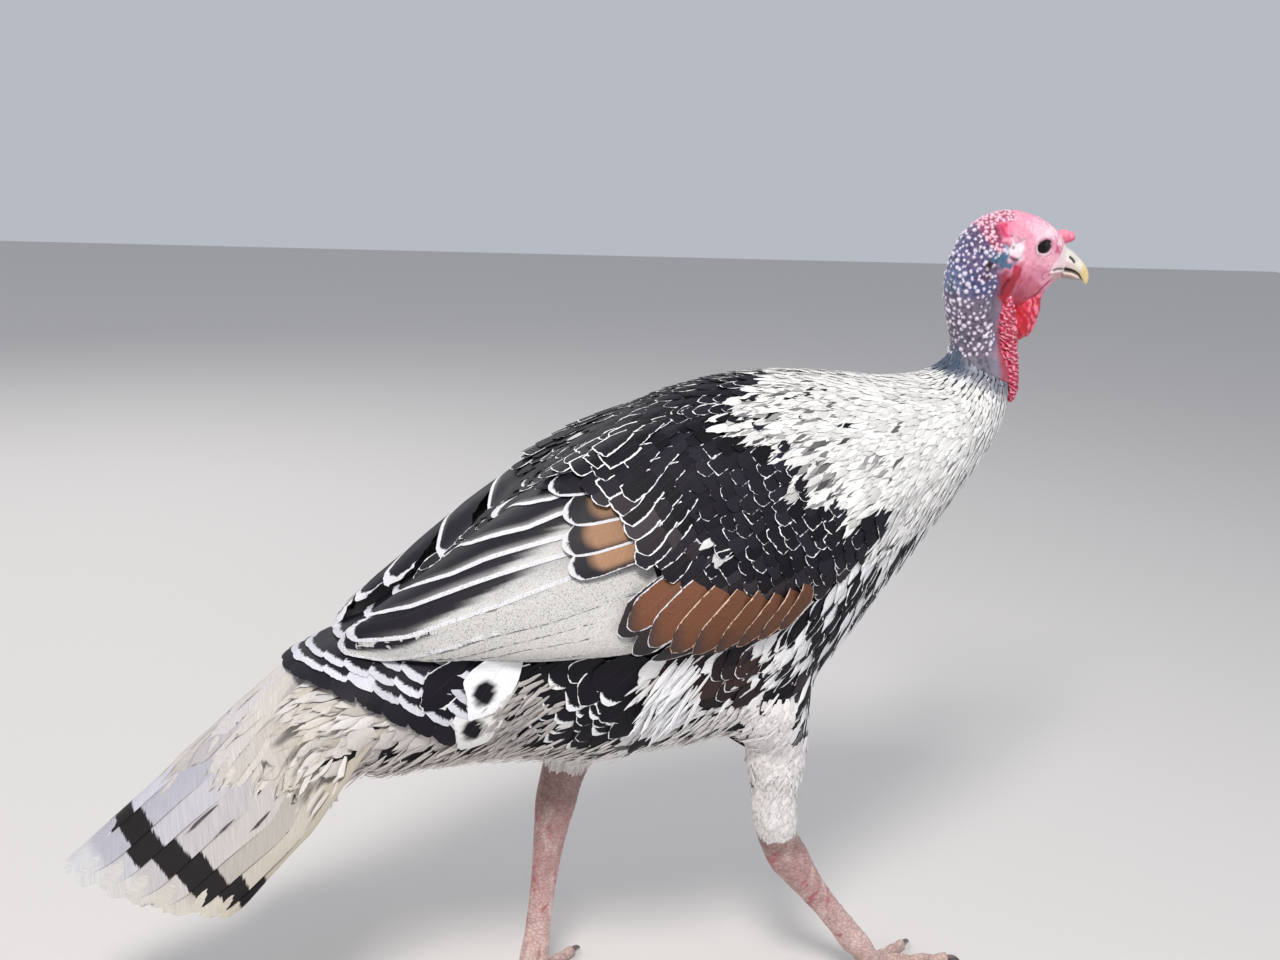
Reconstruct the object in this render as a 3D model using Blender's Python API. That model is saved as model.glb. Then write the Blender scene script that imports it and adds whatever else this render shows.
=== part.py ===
"""Domestic turkey, a young tom in mid stride, life size.

Metres, +Z up, +X the way it walks, the median plane at Y = 0, the floor at Z = 0.
Head, neck, trunk and rump are lengths of one lofted body, parted by thin plane gaps.
Wings, thighs and fleshy growths are lofts of their own, cut back to that body.
"""

import math

import bpy
from mathutils import Matrix, Vector

# Driving dimensions
GAP = 0.0003  # between any two pieces that meet
CLEAR = 0.0004  # how much the cutting copy of the body is swollen
BODY_SIDES = 28
LIMB_SIDES = 10
EYE_RADIUS = 0.0068
EYE_CENTRE = Vector((0.2740, 0.0132, 0.7245))
RIGHT_ANKLE_X = 0.170
LEFT_ANKLE_X = -0.165
TAIL_PITCH = math.radians(43)
TAIL_LENGTH = 0.257

COLOURS = {
    "plumage_white": ((0.82, 0.80, 0.76), 0.8),
    "plumage_black": ((0.03, 0.03, 0.035), 0.6),
    "face_skin": ((0.85, 0.45, 0.48), 0.5),
    "neck_skin": ((0.35, 0.38, 0.52), 0.5),
    "red_flesh": ((0.72, 0.05, 0.08), 0.45),
    "horn": ((0.80, 0.74, 0.60), 0.4),
    "eye": ((0.03, 0.02, 0.02), 0.1),
    "leg_skin": ((0.72, 0.52, 0.47), 0.6),
}

# The body from bill base to rump. Each section is the line from a point on the back to one on the underside:
# (back x, back z, underside x, underside z, half width). Sections run from the face backwards.
BODY = [
    (0.3040, 0.7290, 0.3045, 0.6940, 0.0088),  # bill base
    (0.2965, 0.7370, 0.2990, 0.6885, 0.0142),
    (0.2770, 0.7485, 0.2920, 0.6800, 0.0186),  # eyes
    (0.2480, 0.7548, 0.2800, 0.6740, 0.0218),  # crown and cheeks
    (0.2205, 0.7490, 0.2650, 0.6690, 0.0240),
    (0.1970, 0.7290, 0.2520, 0.6650, 0.0252),  # nape
    (0.1870, 0.6930, 0.2440, 0.6560, 0.0245),
    (0.1925, 0.6600, 0.2430, 0.6400, 0.0240),
    (0.2010, 0.6350, 0.2480, 0.6230, 0.0250),
    (0.1990, 0.6160, 0.2590, 0.5950, 0.0320),  # base of the bare neck
    (0.1690, 0.6020, 0.2540, 0.5550, 0.0460),
    (0.1280, 0.6000, 0.2180, 0.5080, 0.0680),
    (0.0850, 0.6030, 0.1700, 0.4510, 0.0880),  # shoulders
    (0.0350, 0.6050, 0.1210, 0.3890, 0.1040),
    (-0.0200, 0.6010, 0.0750, 0.3270, 0.1130),
    (-0.0800, 0.5860, 0.0260, 0.2790, 0.1150),  # deepest
    (-0.1450, 0.5510, -0.0400, 0.2540, 0.1110),
    (-0.2050, 0.5030, -0.1150, 0.2520, 0.1010),
    (-0.2650, 0.4480, -0.1950, 0.2650, 0.0880),
    (-0.3250, 0.3960, -0.2650, 0.2680, 0.0780),
    (-0.3920, 0.3640, -0.3320, 0.2600, 0.0700),  # root of the tail
]
HEAD_END, BARE_NECK_END, NECK_END, TRUNK_END = 5, 9, 11, 17  # section numbers where the body is parted

# A folded wing: (upper edge x, y, z, lower edge x, y, z, bulge)
WING = [
    (0.1190, 0.0850, 0.5340, 0.1130, 0.0930, 0.5060, 0.0060),
    (0.0980, 0.0650, 0.5640, 0.0830, 0.1040, 0.4780, 0.0190),
    (0.0450, 0.0510, 0.5830, 0.0250, 0.1130, 0.4370, 0.0290),
    (-0.0300, 0.0450, 0.5840, -0.0450, 0.1170, 0.4020, 0.0330),
    (-0.1000, 0.0400, 0.5650, -0.1100, 0.1160, 0.3880, 0.0330),
    (-0.1700, 0.0340, 0.5290, -0.1900, 0.1080, 0.3850, 0.0310),
    (-0.2400, 0.0290, 0.4800, -0.2550, 0.0930, 0.3860, 0.0260),
    (-0.2960, 0.0220, 0.4330, -0.3080, 0.0730, 0.3840, 0.0180),
    (-0.3350, 0.0180, 0.4050, -0.3420, 0.0480, 0.3830, 0.0105),
    (-0.3580, 0.0160, 0.3910, -0.3610, 0.0270, 0.3840, 0.0045),
]
WING_SPLIT = 5  # section number where coverts end and only quills go on

# Legs: (x, y, z, fore-and-aft radius, sideways radius), from the body down to the ankle
RIGHT_LEG = [
    (0.0050, -0.0500, 0.3500, 0.0550, 0.0460),
    (0.0180, -0.0540, 0.3050, 0.0420, 0.0380),
    (0.0330, -0.0500, 0.2620, 0.0275, 0.0270),
    (0.0370, -0.0460, 0.2200, 0.0238, 0.0215),
    (0.0430, -0.0430, 0.1850, 0.0228, 0.0195),
    (0.0510, -0.0410, 0.1640, 0.0205, 0.0175),
    (0.0620, -0.0395, 0.1450, 0.0208, 0.0165),
    (0.0800, -0.0370, 0.1210, 0.0170, 0.0130),
    (0.1060, -0.0340, 0.0890, 0.0138, 0.0105),
    (0.1370, -0.0310, 0.0520, 0.0138, 0.0110),
    (0.1590, -0.0290, 0.0260, 0.0135, 0.0130),
]
LEFT_LEG = [
    (-0.0700, 0.0500, 0.3500, 0.0580, 0.0460),
    (-0.0980, 0.0540, 0.3000, 0.0440, 0.0380),
    (-0.1230, 0.0480, 0.2580, 0.0310, 0.0280),
    (-0.1370, 0.0410, 0.2300, 0.0250, 0.0210),
    (-0.1440, 0.0380, 0.2080, 0.0225, 0.0180),
    (-0.1480, 0.0370, 0.1860, 0.0222, 0.0170),
    (-0.1530, 0.0350, 0.1500, 0.0170, 0.0130),
    (-0.1570, 0.0330, 0.1050, 0.0138, 0.0105),
    (-0.1610, 0.0305, 0.0600, 0.0138, 0.0110),
    (-0.1640, 0.0290, 0.0260, 0.0140, 0.0130),
]
RIGHT_HOCK, LEFT_HOCK = 5, 4  # section numbers where the feathers end
# Toes: name, degrees turned outwards, length, radius at the root
TOES = [
    ("middle", -2, 0.0840, 0.0088),
    ("inner", -36, 0.0620, 0.0080),
    ("outer", 34, 0.0660, 0.0080),
    ("hind", 168, 0.0330, 0.0070),
]
CLAW_LENGTH = 0.016
ORIGIN_X = -0.1209  # what of the length above is taken as X = 0


def clear_scene():
    for obj in list(bpy.data.objects):
        bpy.data.objects.remove(obj, do_unlink=True)


def make_material(name):
    colour, roughness = COLOURS[name]
    material = bpy.data.materials.get(name) or bpy.data.materials.new(name)
    material.use_nodes = True
    shader = material.node_tree.nodes["Principled BSDF"]
    shader.inputs["Base Color"].default_value = (*colour, 1.0)
    shader.inputs["Roughness"].default_value = roughness
    return material


def new_object(name, mesh, material, collection):
    obj = bpy.data.objects.new(name, mesh)
    collection.objects.link(obj)
    if material:
        mesh.materials.append(make_material(material))
    mesh.shade_smooth()
    return obj


def smooth_rows(rows, steps):
    """Rows of numbers with steps - 1 more between each two, on a Catmull-Rom curve through them."""
    found = []
    last = len(rows) - 1
    for i in range(last):
        p0, p1, p2, p3 = (rows[max(0, min(last, k))] for k in (i - 1, i, i + 1, i + 2))
        for k in range(steps):
            t = k / steps
            found.append(
                tuple(
                    0.5 * (2 * b + (c - a) * t + (2 * a - 5 * b + 4 * c - d) * t**2 + (3 * b - a - 3 * c + d) * t**3)
                    for a, b, c, d in zip(p0, p1, p2, p3)
                )
            )
    found.append(tuple(rows[last]))
    return found


def ring(centre, up, side, sides, droop=0.0):
    """An ellipse round centre; with a droop, its two sides hang below its middle."""
    points = []
    for k in range(sides):
        angle = 2 * math.pi * k / sides
        point = centre + up * math.cos(angle) + side * math.sin(angle)
        points.append(point - up.normalized() * droop * math.sin(angle) ** 2)
    return points


def loft_mesh(name, rings):
    """A closed skin over the rings, capped with a fan at each end, faces outwards."""
    sides = len(rings[0])
    points = [p for r in rings for p in r]
    faces = []
    for i in range(len(rings) - 1):
        a, b = i * sides, (i + 1) * sides
        for k in range(sides):  # split in the same way everywhere, so that a swollen copy keeps its distance
            n = (k + 1) % sides
            faces += [(a + k, a + n, b + n), (a + k, b + n, b + k)]
    for start, flip in ((0, True), ((len(rings) - 1) * sides, False)):
        points.append(sum(rings[0 if flip else -1], Vector()) / sides)
        hub = len(points) - 1
        for k in range(sides):
            one, two = start + k, start + (k + 1) % sides
            faces.append((hub, two, one) if flip else (hub, one, two))
    mesh = bpy.data.meshes.new(name)
    mesh.from_pydata(points, [], faces)
    mesh.update()
    if volume_of(mesh) < 0:
        mesh.flip_normals()
    return mesh


def volume_of(mesh):
    mesh.calc_loop_triangles()
    total = 0.0
    for triangle in mesh.loop_triangles:
        a, b, c = (mesh.vertices[i].co for i in triangle.vertices)
        total += a.dot(b.cross(c))
    return total


def body_rings(first, last, steps, swell=0.0, front_gap=0.0):
    """Rings of the body from section number first to last."""
    rows = smooth_rows(BODY, steps)[first * steps : last * steps + 1]
    rings = []
    for i, (tx, tz, bx, bz, width) in enumerate(rows):
        top, bottom = Vector((tx, 0, tz)), Vector((bx, 0, bz))
        up = (top - bottom) / 2
        centre = (top + bottom) / 2
        if i == 0 and front_gap:  # this piece starts a little behind the one before it
            onward = up.cross(Vector((0, 1, 0))).normalized()
            ahead = Vector(((rows[1][0] + rows[1][2]) / 2, 0, (rows[1][1] + rows[1][3]) / 2)) - centre
            centre = centre + onward * math.copysign(front_gap, onward.dot(ahead))
        up = up.normalized() * (up.length + swell)
        rings.append(ring(centre, up, Vector((0, width + swell, 0)), BODY_SIDES))
    return rings


def cut(obj, cutter):
    modifier = obj.modifiers.new("cut_" + cutter.name, "BOOLEAN")
    modifier.operation = "DIFFERENCE"
    modifier.object = cutter


def join(obj, other):
    modifier = obj.modifiers.new("join_" + other.name, "BOOLEAN")
    modifier.operation = "UNION"
    modifier.object = other


def hide(obj):
    obj.hide_render = True
    obj.display_type = "WIRE"


def limb_rings(rows, steps, lean_to_floor=False):
    """Rings round a line of points, square to it, with unlike radii fore-and-aft and sideways."""
    rows = smooth_rows(rows, steps)
    centres = [Vector(r[:3]) for r in rows]
    rings = []
    for i, row in enumerate(rows):
        along = (centres[min(i + 1, len(rows) - 1)] - centres[max(i - 1, 0)]).normalized()
        if lean_to_floor and i == len(rows) - 1:
            along = Vector((0, 0, -1))
        fore = (Vector((1, 0, 0)) - along * along.x).normalized()
        side = along.cross(fore)
        rings.append(ring(centres[i], fore * row[3], side * row[4], LIMB_SIDES))
    return rings


def build_body(parts, cutters):
    """The four lengths of the body, with eye sockets in the head, and the cutter that all else is cut back to."""
    pieces = (
        ("head", 0, HEAD_END, 2, "face_skin"),
        ("neck_bare", HEAD_END, BARE_NECK_END, 2, "neck_skin"),
        ("neck_feathered", BARE_NECK_END, NECK_END, 2, "plumage_white"),
        ("trunk", NECK_END, TRUNK_END, 2, "plumage_white"),
        ("rump", TRUNK_END, len(BODY) - 1, 2, "plumage_white"),
    )
    made = {}
    swollen = []
    for name, first, last, fineness, material in pieces:
        rings = body_rings(first, last, fineness, front_gap=GAP if first else 0.0)
        made[name] = new_object(name, loft_mesh(name, rings), material, parts)
        swollen += body_rings(first, last, fineness, swell=CLEAR)[1 if first else 0 :]
    clearance = new_object("body_clearance", loft_mesh("body_clearance", swollen), None, cutters)
    hide(clearance)
    for side, sign in (("right", -1), ("left", 1)):
        place = Vector((EYE_CENTRE.x, sign * EYE_CENTRE.y, EYE_CENTRE.z))
        socket = eyeball("eye_socket_" + side, place, EYE_RADIUS + CLEAR, None, cutters)
        hide(socket)
        cut(made["head"], socket)
        eyeball("eye_" + side, place, EYE_RADIUS, "eye", parts)
    return clearance


def eyeball(name, centre, radius, material, collection):
    bpy.ops.mesh.primitive_uv_sphere_add(segments=14, ring_count=8, radius=radius, location=centre)
    obj = bpy.context.object
    obj.name = name
    for old in list(obj.users_collection):
        old.objects.unlink(obj)
    collection.objects.link(obj)
    if material:
        obj.data.materials.append(make_material(material))
    obj.data.shade_smooth()
    return obj


def build_bill(parts):
    """Upper half, hooked at its tip, and lower half, both starting just ahead of the head's flat front."""
    front = BODY[0][0] + 0.0009
    upper = [  # ridge x, z, edge x, z, half width
        (front, 0.7245, front, 0.7032, 0.0078),
        (0.3146, 0.7201, 0.3130, 0.7020, 0.0068),
        (0.3221, 0.7145, 0.3195, 0.7004, 0.0056),
        (0.3291, 0.7090, 0.3248, 0.6976, 0.0046),
        (0.3345, 0.7030, 0.3286, 0.6935, 0.0034),
        (0.3372, 0.6965, 0.3322, 0.6902, 0.0020),
        (0.3370, 0.6900, 0.3348, 0.6880, 0.0008),
    ]
    lower = [
        (front, 0.7024, front, 0.6943, 0.0066),
        (0.3150, 0.7010, 0.3150, 0.6932, 0.0056),
        (0.3228, 0.6982, 0.3228, 0.6926, 0.0040),
        (0.3270, 0.6945, 0.3266, 0.6922, 0.0018),
    ]
    for name, rows in (("bill_upper", upper), ("bill_lower", lower)):
        rings = []
        for ridge_x, ridge_z, edge_x, edge_z, width in smooth_rows(rows, 2):
            ridge, edge = Vector((ridge_x, 0, ridge_z)), Vector((edge_x, 0, edge_z))
            rings.append(ring((ridge + edge) / 2, (ridge - edge) / 2, Vector((0, width, 0)), LIMB_SIDES))
        new_object(name, loft_mesh(name, rings), "horn", parts)


def build_growths(parts, cutters, clearance):
    """The snood over the bill, the throat wattle and the two caruncle strings down the neck's front."""
    growths = {
        "snood": [
            (0.2960, 0.0, 0.7270, 0.0068, 0.0058),
            (0.3030, 0.0, 0.7322, 0.0062, 0.0056),
            (0.3085, 0.0, 0.7325, 0.0056, 0.0052),
            (0.3122, 0.0, 0.7292, 0.0026, 0.0030),
        ],
        "wattle_throat": [
            (0.2900, 0.0, 0.6900, 0.0050, 0.0080),
            (0.2790, 0.0, 0.6760, 0.0150, 0.0120),
            (0.2690, 0.0, 0.6600, 0.0200, 0.0120),
            (0.2640, 0.0, 0.6450, 0.0170, 0.0100),
            (0.2620, 0.0, 0.6370, 0.0070, 0.0060),
        ],
    }
    string = [
        (0.2380, 0.0150, 0.6790, 0.0080, 0.0060),
        (0.2430, 0.0150, 0.6600, 0.0095, 0.0080),
        (0.2485, 0.0130, 0.6400, 0.0090, 0.0085),
        (0.2570, 0.0105, 0.6100, 0.0080, 0.0080),
        (0.2615, 0.0095, 0.5900, 0.0066, 0.0065),
        (0.2605, 0.0090, 0.5790, 0.0035, 0.0035),
    ]
    for side, sign in (("right", -1), ("left", 1)):
        growths["caruncles_" + side] = [(x, sign * y, z, r, s) for x, y, z, r, s in string]
    swollen = [(x, y, z, r + CLEAR, s + CLEAR) for x, y, z, r, s in growths["wattle_throat"]]
    wattle_clearance = new_object("wattle_clearance", loft_mesh("w", limb_rings(swollen, 2)), None, cutters)
    hide(wattle_clearance)
    for name, rows in growths.items():
        obj = new_object(name, loft_mesh(name, limb_rings(rows, 2)), "red_flesh", parts)
        cut(obj, clearance)
        if name.startswith("caruncles"):
            cut(obj, wattle_clearance)


def build_wings(parts, clearance):
    steps = 2
    for side, sign in (("right", -1), ("left", 1)):
        rows = smooth_rows(WING, steps)
        rings = []
        for i, (ux, uy, uz, lx, ly, lz, bulge) in enumerate(rows):
            top, bottom = Vector((ux, sign * uy, uz)), Vector((lx, sign * ly, lz))
            out = (bottom - top).cross(Vector((1, 0, 0))).normalized()
            out *= bulge * math.copysign(1, out.y * sign)
            rings.append(ring((top + bottom) / 2, (top - bottom) / 2, out, 14))
        middle = WING_SPLIT * steps
        back = Vector((-GAP, 0, 0))
        quills = [[p + back for p in rings[middle]]] + rings[middle + 1 :]
        for name, own in (("wing_" + side, rings[: middle + 1]), ("wing_quills_" + side, quills)):
            obj = new_object(name, loft_mesh(name, own), "plumage_black", parts)
            cut(obj, clearance)


def build_tail(parts):
    """The half-closed fan of tail feathers, a shallow roof that falls away at both sides."""
    along = Vector((-math.cos(TAIL_PITCH), 0, -math.sin(TAIL_PITCH)))
    up = Vector((-math.sin(TAIL_PITCH), 0, math.cos(TAIL_PITCH)))
    root_top = Vector((BODY[-1][0], 0, BODY[-1][1]))
    root_up = (root_top - Vector((BODY[-1][2], 0, BODY[-1][3]))).normalized()
    rows = [  # share of the length, half thickness, half width, droop
        (0.0, 0.0140, 0.0740, 0.0660),
        (0.3, 0.0110, 0.0890, 0.0820),
        (0.58, 0.0080, 0.0970, 0.0850),
        (0.78, 0.0055, 0.0840, 0.0740),
        (0.92, 0.0035, 0.0620, 0.0560),
        (1.0, 0.0016, 0.0360, 0.0320),
    ]
    rings = []
    for i, (share, half, width, droop) in enumerate(smooth_rows(rows, 2)):
        top = root_top + along * (GAP + 0.0005 + share * TAIL_LENGTH)
        direction = root_up if i == 0 else up
        rings.append(ring(top - direction * (half + 0.002), direction * half, Vector((0, width, 0)), 24, droop))
    new_object("tail", loft_mesh("tail", rings), "plumage_white", parts)


def build_leg(side, leg, hock, ankle_x, turn, parts, cutters, clearance):
    fineness = 2
    rings = limb_rings(leg, fineness, lean_to_floor=True)
    feathered, bare = rings[: hock * fineness + 1], rings[hock * fineness :]
    down = (Vector(leg[hock + 1][:3]) - Vector(leg[hock][:3])).normalized() * GAP
    bare[0] = [p + down for p in bare[0]]
    obj = new_object("thigh_" + side, loft_mesh("thigh_" + side, feathered), "plumage_white", parts)
    cut(obj, clearance)
    new_object("shank_" + side, loft_mesh("shank_" + side, bare), "leg_skin", parts)
    build_foot(side, Vector(leg[-1][:3]), Vector((ankle_x, leg[-1][1], 0)), turn, parts, cutters)


def build_foot(side, ankle, centre, turn, parts, cutters):
    """Pad and four toes joined in one piece, cut level at the floor, with a separate claw on each toe."""
    outward = -1 if side == "right" else 1
    pad_rows = [
        (ankle.x, ankle.y, ankle.z - GAP, 0.0136, 0.0128),
        (centre.x - 0.002, centre.y, 0.0150, 0.0150, 0.0140),
        (centre.x, centre.y, 0.0060, 0.0150, 0.0140),
        (centre.x, centre.y, -0.0020, 0.0120, 0.0110),
    ]
    rings = []
    for x, y, z, fore, side_radius in smooth_rows(pad_rows, 2):
        rings.append(ring(Vector((x, y, z)), Vector((fore, 0, 0)), Vector((0, side_radius, 0)), LIMB_SIDES))
    foot = new_object("foot_" + side, loft_mesh("foot_" + side, rings), "leg_skin", parts)
    for name, degrees, length, radius in TOES:
        heading = Matrix.Rotation(math.radians(turn + outward * degrees), 3, "Z") @ Vector((1, 0, 0))
        sideways = Vector((0, 0, 1)).cross(heading)
        sections = []
        joints = 3 if name != "hind" else 1
        count = 2 * joints + 1 if joints > 1 else 4
        for k in range(count):
            share = k / (count - 1)
            knuckle = 1 + 0.10 * math.cos(2 * math.pi * joints * share)
            r = radius * (1 - 0.30 * share) * knuckle
            at = centre + heading * (0.004 + share * (length - 0.004))
            at.z = 0.80 * r + 0.006 * (1 - share) ** 3
            sections.append((at, r))
        toe_rings = [ring(at, Vector((0, 0, r)), sideways * r * 0.92, 8) for at, r in sections]
        toe = new_object("toe_" + name + "_" + side, loft_mesh("toe", toe_rings), None, cutters)
        hide(toe)
        join(foot, toe)
        build_claw(f"claw_{name}_{side}", sections[-1], heading, sideways, parts)
    bpy.ops.mesh.primitive_cube_add(size=1, location=(centre.x, centre.y, -0.25))
    floor = bpy.context.object
    floor.name = "floor_" + side
    floor.scale = (0.5, 0.5, 0.5)
    for old in list(floor.users_collection):
        old.objects.unlink(floor)
    cutters.objects.link(floor)
    hide(floor)
    cut(foot, floor)


def build_claw(name, toe_end, heading, sideways, parts):
    start, toe_radius = toe_end
    root = toe_radius * 0.55
    rings = []
    steps = 4
    for k in range(steps + 1):
        share = k / steps
        at = start + heading * (GAP + share * CLAW_LENGTH)
        at.z = root + 0.0012 + 0.0015 * math.sin(math.pi * share) - (root + 0.0002) * share**2
        r = root * (1 - share) ** 0.7 + 0.0006
        rings.append(ring(at, Vector((0, 0, r)), sideways * r * 0.8, 6))
    lowest = min(p.z for r in rings for p in r)
    rings = [[p - Vector((0, 0, min(0.0, lowest))) for p in r] for r in rings]
    new_object(name, loft_mesh(name, rings), "horn", parts)


def main():
    clear_scene()
    scene = bpy.context.scene
    parts = bpy.data.collections.new("turkey")
    cutters = bpy.data.collections.new("cutters")
    scene.collection.children.link(parts)
    scene.collection.children.link(cutters)
    clearance = build_body(parts, cutters)
    build_bill(parts)
    build_growths(parts, cutters, clearance)
    build_wings(parts, clearance)
    build_tail(parts)
    build_leg("right", RIGHT_LEG, RIGHT_HOCK, RIGHT_ANKLE_X, -4, parts, cutters, clearance)
    build_leg("left", LEFT_LEG, LEFT_HOCK, LEFT_ANKLE_X, 4, parts, cutters, clearance)
    for obj in list(parts.objects) + list(cutters.objects):
        obj.location.x -= ORIGIN_X


main()
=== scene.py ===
import bpy
import math
import time
import numpy as np
from mathutils import Matrix, Vector
from mathutils.bvhtree import BVHTree


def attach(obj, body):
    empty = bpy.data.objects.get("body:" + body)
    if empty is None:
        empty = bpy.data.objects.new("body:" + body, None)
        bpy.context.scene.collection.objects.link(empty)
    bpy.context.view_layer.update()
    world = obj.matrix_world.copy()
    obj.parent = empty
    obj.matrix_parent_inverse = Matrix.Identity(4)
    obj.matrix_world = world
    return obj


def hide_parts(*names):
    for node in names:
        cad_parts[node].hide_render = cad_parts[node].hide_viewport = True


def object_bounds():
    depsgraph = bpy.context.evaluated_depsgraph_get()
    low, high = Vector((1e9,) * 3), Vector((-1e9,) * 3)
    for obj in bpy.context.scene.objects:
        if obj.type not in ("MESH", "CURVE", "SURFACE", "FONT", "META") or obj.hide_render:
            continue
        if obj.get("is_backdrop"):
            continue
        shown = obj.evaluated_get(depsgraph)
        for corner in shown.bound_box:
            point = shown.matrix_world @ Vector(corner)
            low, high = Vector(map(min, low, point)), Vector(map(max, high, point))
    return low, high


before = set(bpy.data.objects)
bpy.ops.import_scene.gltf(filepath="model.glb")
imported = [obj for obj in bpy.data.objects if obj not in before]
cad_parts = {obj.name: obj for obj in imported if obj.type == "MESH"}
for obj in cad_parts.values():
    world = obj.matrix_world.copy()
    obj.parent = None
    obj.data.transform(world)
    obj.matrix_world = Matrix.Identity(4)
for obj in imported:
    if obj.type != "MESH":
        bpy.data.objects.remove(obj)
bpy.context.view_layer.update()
began = time.time()
rng = np.random.default_rng(11)
fullTurn, halfTurn = 2 * math.pi, math.pi
# tables of places are in tenths of a millimetre
tenths = 10000
# a full turn as the waves and the thighs' map use it, and a rim width that shows no rim
waveTurn, noRim = 6.283, -0.001


def say(text):
    print(f"[{time.time() - began:5.1f} s] {text}")


say("solids loaded")


# arrays and meshes
def readMesh(mesh):
    # the points, and the point number at each corner of the faces
    co = np.empty(len(mesh.vertices) * 3)
    mesh.vertices.foreach_get("co", co)
    corner = np.empty(len(mesh.loops), dtype=np.int64)
    mesh.loops.foreach_get("vertex_index", corner)
    return co.reshape(-1, 3), corner


def joined(pieces):
    # (points, faces, ...) of several pieces as one, faces counted on
    start = np.cumsum([0] + [len(p[0]) for p in pieces])
    faces = [p[1] + s for p, s in zip(pieces, start)]
    return np.concatenate([p[0] for p in pieces]), np.concatenate(faces)


def nodeArrays(names):
    # all points and triangles of the named nodes, equal points counted once
    pieces = []
    for name in names:
        co, corner = readMesh(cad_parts[name].data)
        pieces.append((co, corner.reshape(-1, 3)))
    points, faces = joined(pieces)
    whole = np.round(points * 1e6).astype(np.int64)
    first, back = np.unique(whole, axis=0, return_index=True, return_inverse=True)[1:]
    faces = back.reshape(-1)[faces]
    return points[first], faces[(faces != np.roll(faces, 1, 1)).all(1)]


def makeMesh(name, points, faces, rounded=True):
    # points (n,3) and faces (m,k) become a mesh object at the origin
    mesh = bpy.data.meshes.new(name)
    mesh.vertices.add(len(points))
    mesh.vertices.foreach_set("co", np.ascontiguousarray(points, dtype=np.float32).ravel())
    mesh.loops.add(faces.size)
    mesh.loops.foreach_set("vertex_index", np.ascontiguousarray(faces, dtype=np.int32).ravel())
    mesh.polygons.add(len(faces))
    mesh.polygons.foreach_set("loop_start", np.arange(0, faces.size, faces.shape[1], dtype=np.int32))
    mesh.polygons.foreach_set("use_smooth", np.full(len(faces), rounded))
    mesh.update(calc_edges=True)
    return link(name, mesh)


def link(name, data):
    thing = bpy.data.objects.new(name, data)
    bpy.context.scene.collection.objects.link(thing)
    return thing


def giveAttribute(thing, name, values, colour=False):
    # three numbers a point, as a vector or as a colour
    if colour:
        values = np.concatenate([values, np.ones((len(values), 1))], 1)
    kind, field = ("FLOAT_COLOR", "color") if colour else ("FLOAT_VECTOR", "vector")
    layer = thing.data.attributes.new(name, kind, "POINT")
    layer.data.foreach_set(field, np.ascontiguousarray(values, dtype=np.float32).ravel())


def voxelSkin(names, size):
    # closed skin of even squares round the named nodes
    blank = makeMesh("blank", *nodeArrays(names))
    wrap = blank.modifiers.new("voxels", "REMESH")
    wrap.mode = "VOXEL"
    wrap.voxel_size = size
    graph = bpy.context.evaluated_depsgraph_get()
    co, corner = readMesh(bpy.data.meshes.new_from_object(blank.evaluated_get(graph)))
    bpy.data.objects.remove(blank)
    return co, corner.reshape(-1, 4)


def edgePairs(faces):
    pairs = np.stack([faces.ravel(), np.roll(faces, -1, axis=1).ravel()], 1)
    pairs.sort(axis=1)
    return np.unique(pairs, axis=0)


def relax(points, pairs, rounds, amount=0.5):
    # each point moves towards the mean of its neighbours: p + amount (mean - p)
    n, (one, two) = len(points), pairs.T
    degree = np.bincount(pairs.ravel(), minlength=n)[:, None]
    for _ in range(rounds):
        total = [np.bincount(one, p[two], n) + np.bincount(two, p[one], n) for p in points.T]
        points = points + np.reshape(amount, (-1, 1)) * (np.stack(total, 1) / degree - points)
    return points


def unit(a):
    return a / np.maximum(np.linalg.norm(a, axis=-1, keepdims=True), 1e-12)


def outward(points, faces):
    # unit normal at each point, from the cross products of its squares' diagonals
    a, b, c, d = [points[f] for f in faces.T]
    cross = np.cross(c - a, d - b)
    return unit(np.stack([sum(np.bincount(f, way, len(points)) for f in faces.T) for way in cross.T], 1))


def smooth(low, high, x):
    # 0 below low, 1 above high, 3t^2 - 2t^3 between
    t = np.clip((x - low) / (high - low), 0, 1)
    return t * t * (3 - 2 * t)


waveTable = rng.random((9, 3)) * 2 - 1


def ripple(p, size, seed=0):
    # soft lumps about size across, -1 to 1: mean of sines along nine fixed slants
    total = np.zeros(p.shape[:-1])
    for k in range(9):
        slant = waveTable[(k + seed) % 9] + 0.35 * waveTable[(k * 2 + seed + 3) % 9]
        slant = slant / np.linalg.norm(slant) * (0.7 + 0.08 * k)
        total += np.sin(p @ slant * (waveTurn / size) + 1.7 * k * (seed + 1.3))
    return np.clip(total / 4.2, -1, 1)


def curve(x, *pairs):
    # a bent line at x, from pairs of x and value in tenths of a millimetre
    return np.interp(x, *np.reshape(pairs, (-1, 2)).T / tenths)


def runAlong(line):
    # the length of a bent line up to each of its points
    return np.concatenate([[0], np.cumsum(np.linalg.norm(np.diff(line, axis=0), axis=1))])


def squares(index):
    # the squares of a grid of point numbers
    return np.stack(
        [index[..., :-1, :-1], index[..., :-1, 1:], index[..., 1:, 1:], index[..., 1:, :-1]], -1
    ).reshape(-1, 4)


def closed(index):
    return np.concatenate([index, index[:, :1]], 1)


# the surface that the coat lies on
coatNodes = [
    "neck_bare", "neck_feathered", "trunk", "rump", "tail", "wing_left", "wing_right",
    "wing_quills_left", "wing_quills_right", "thigh_left", "thigh_right",
]


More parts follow.
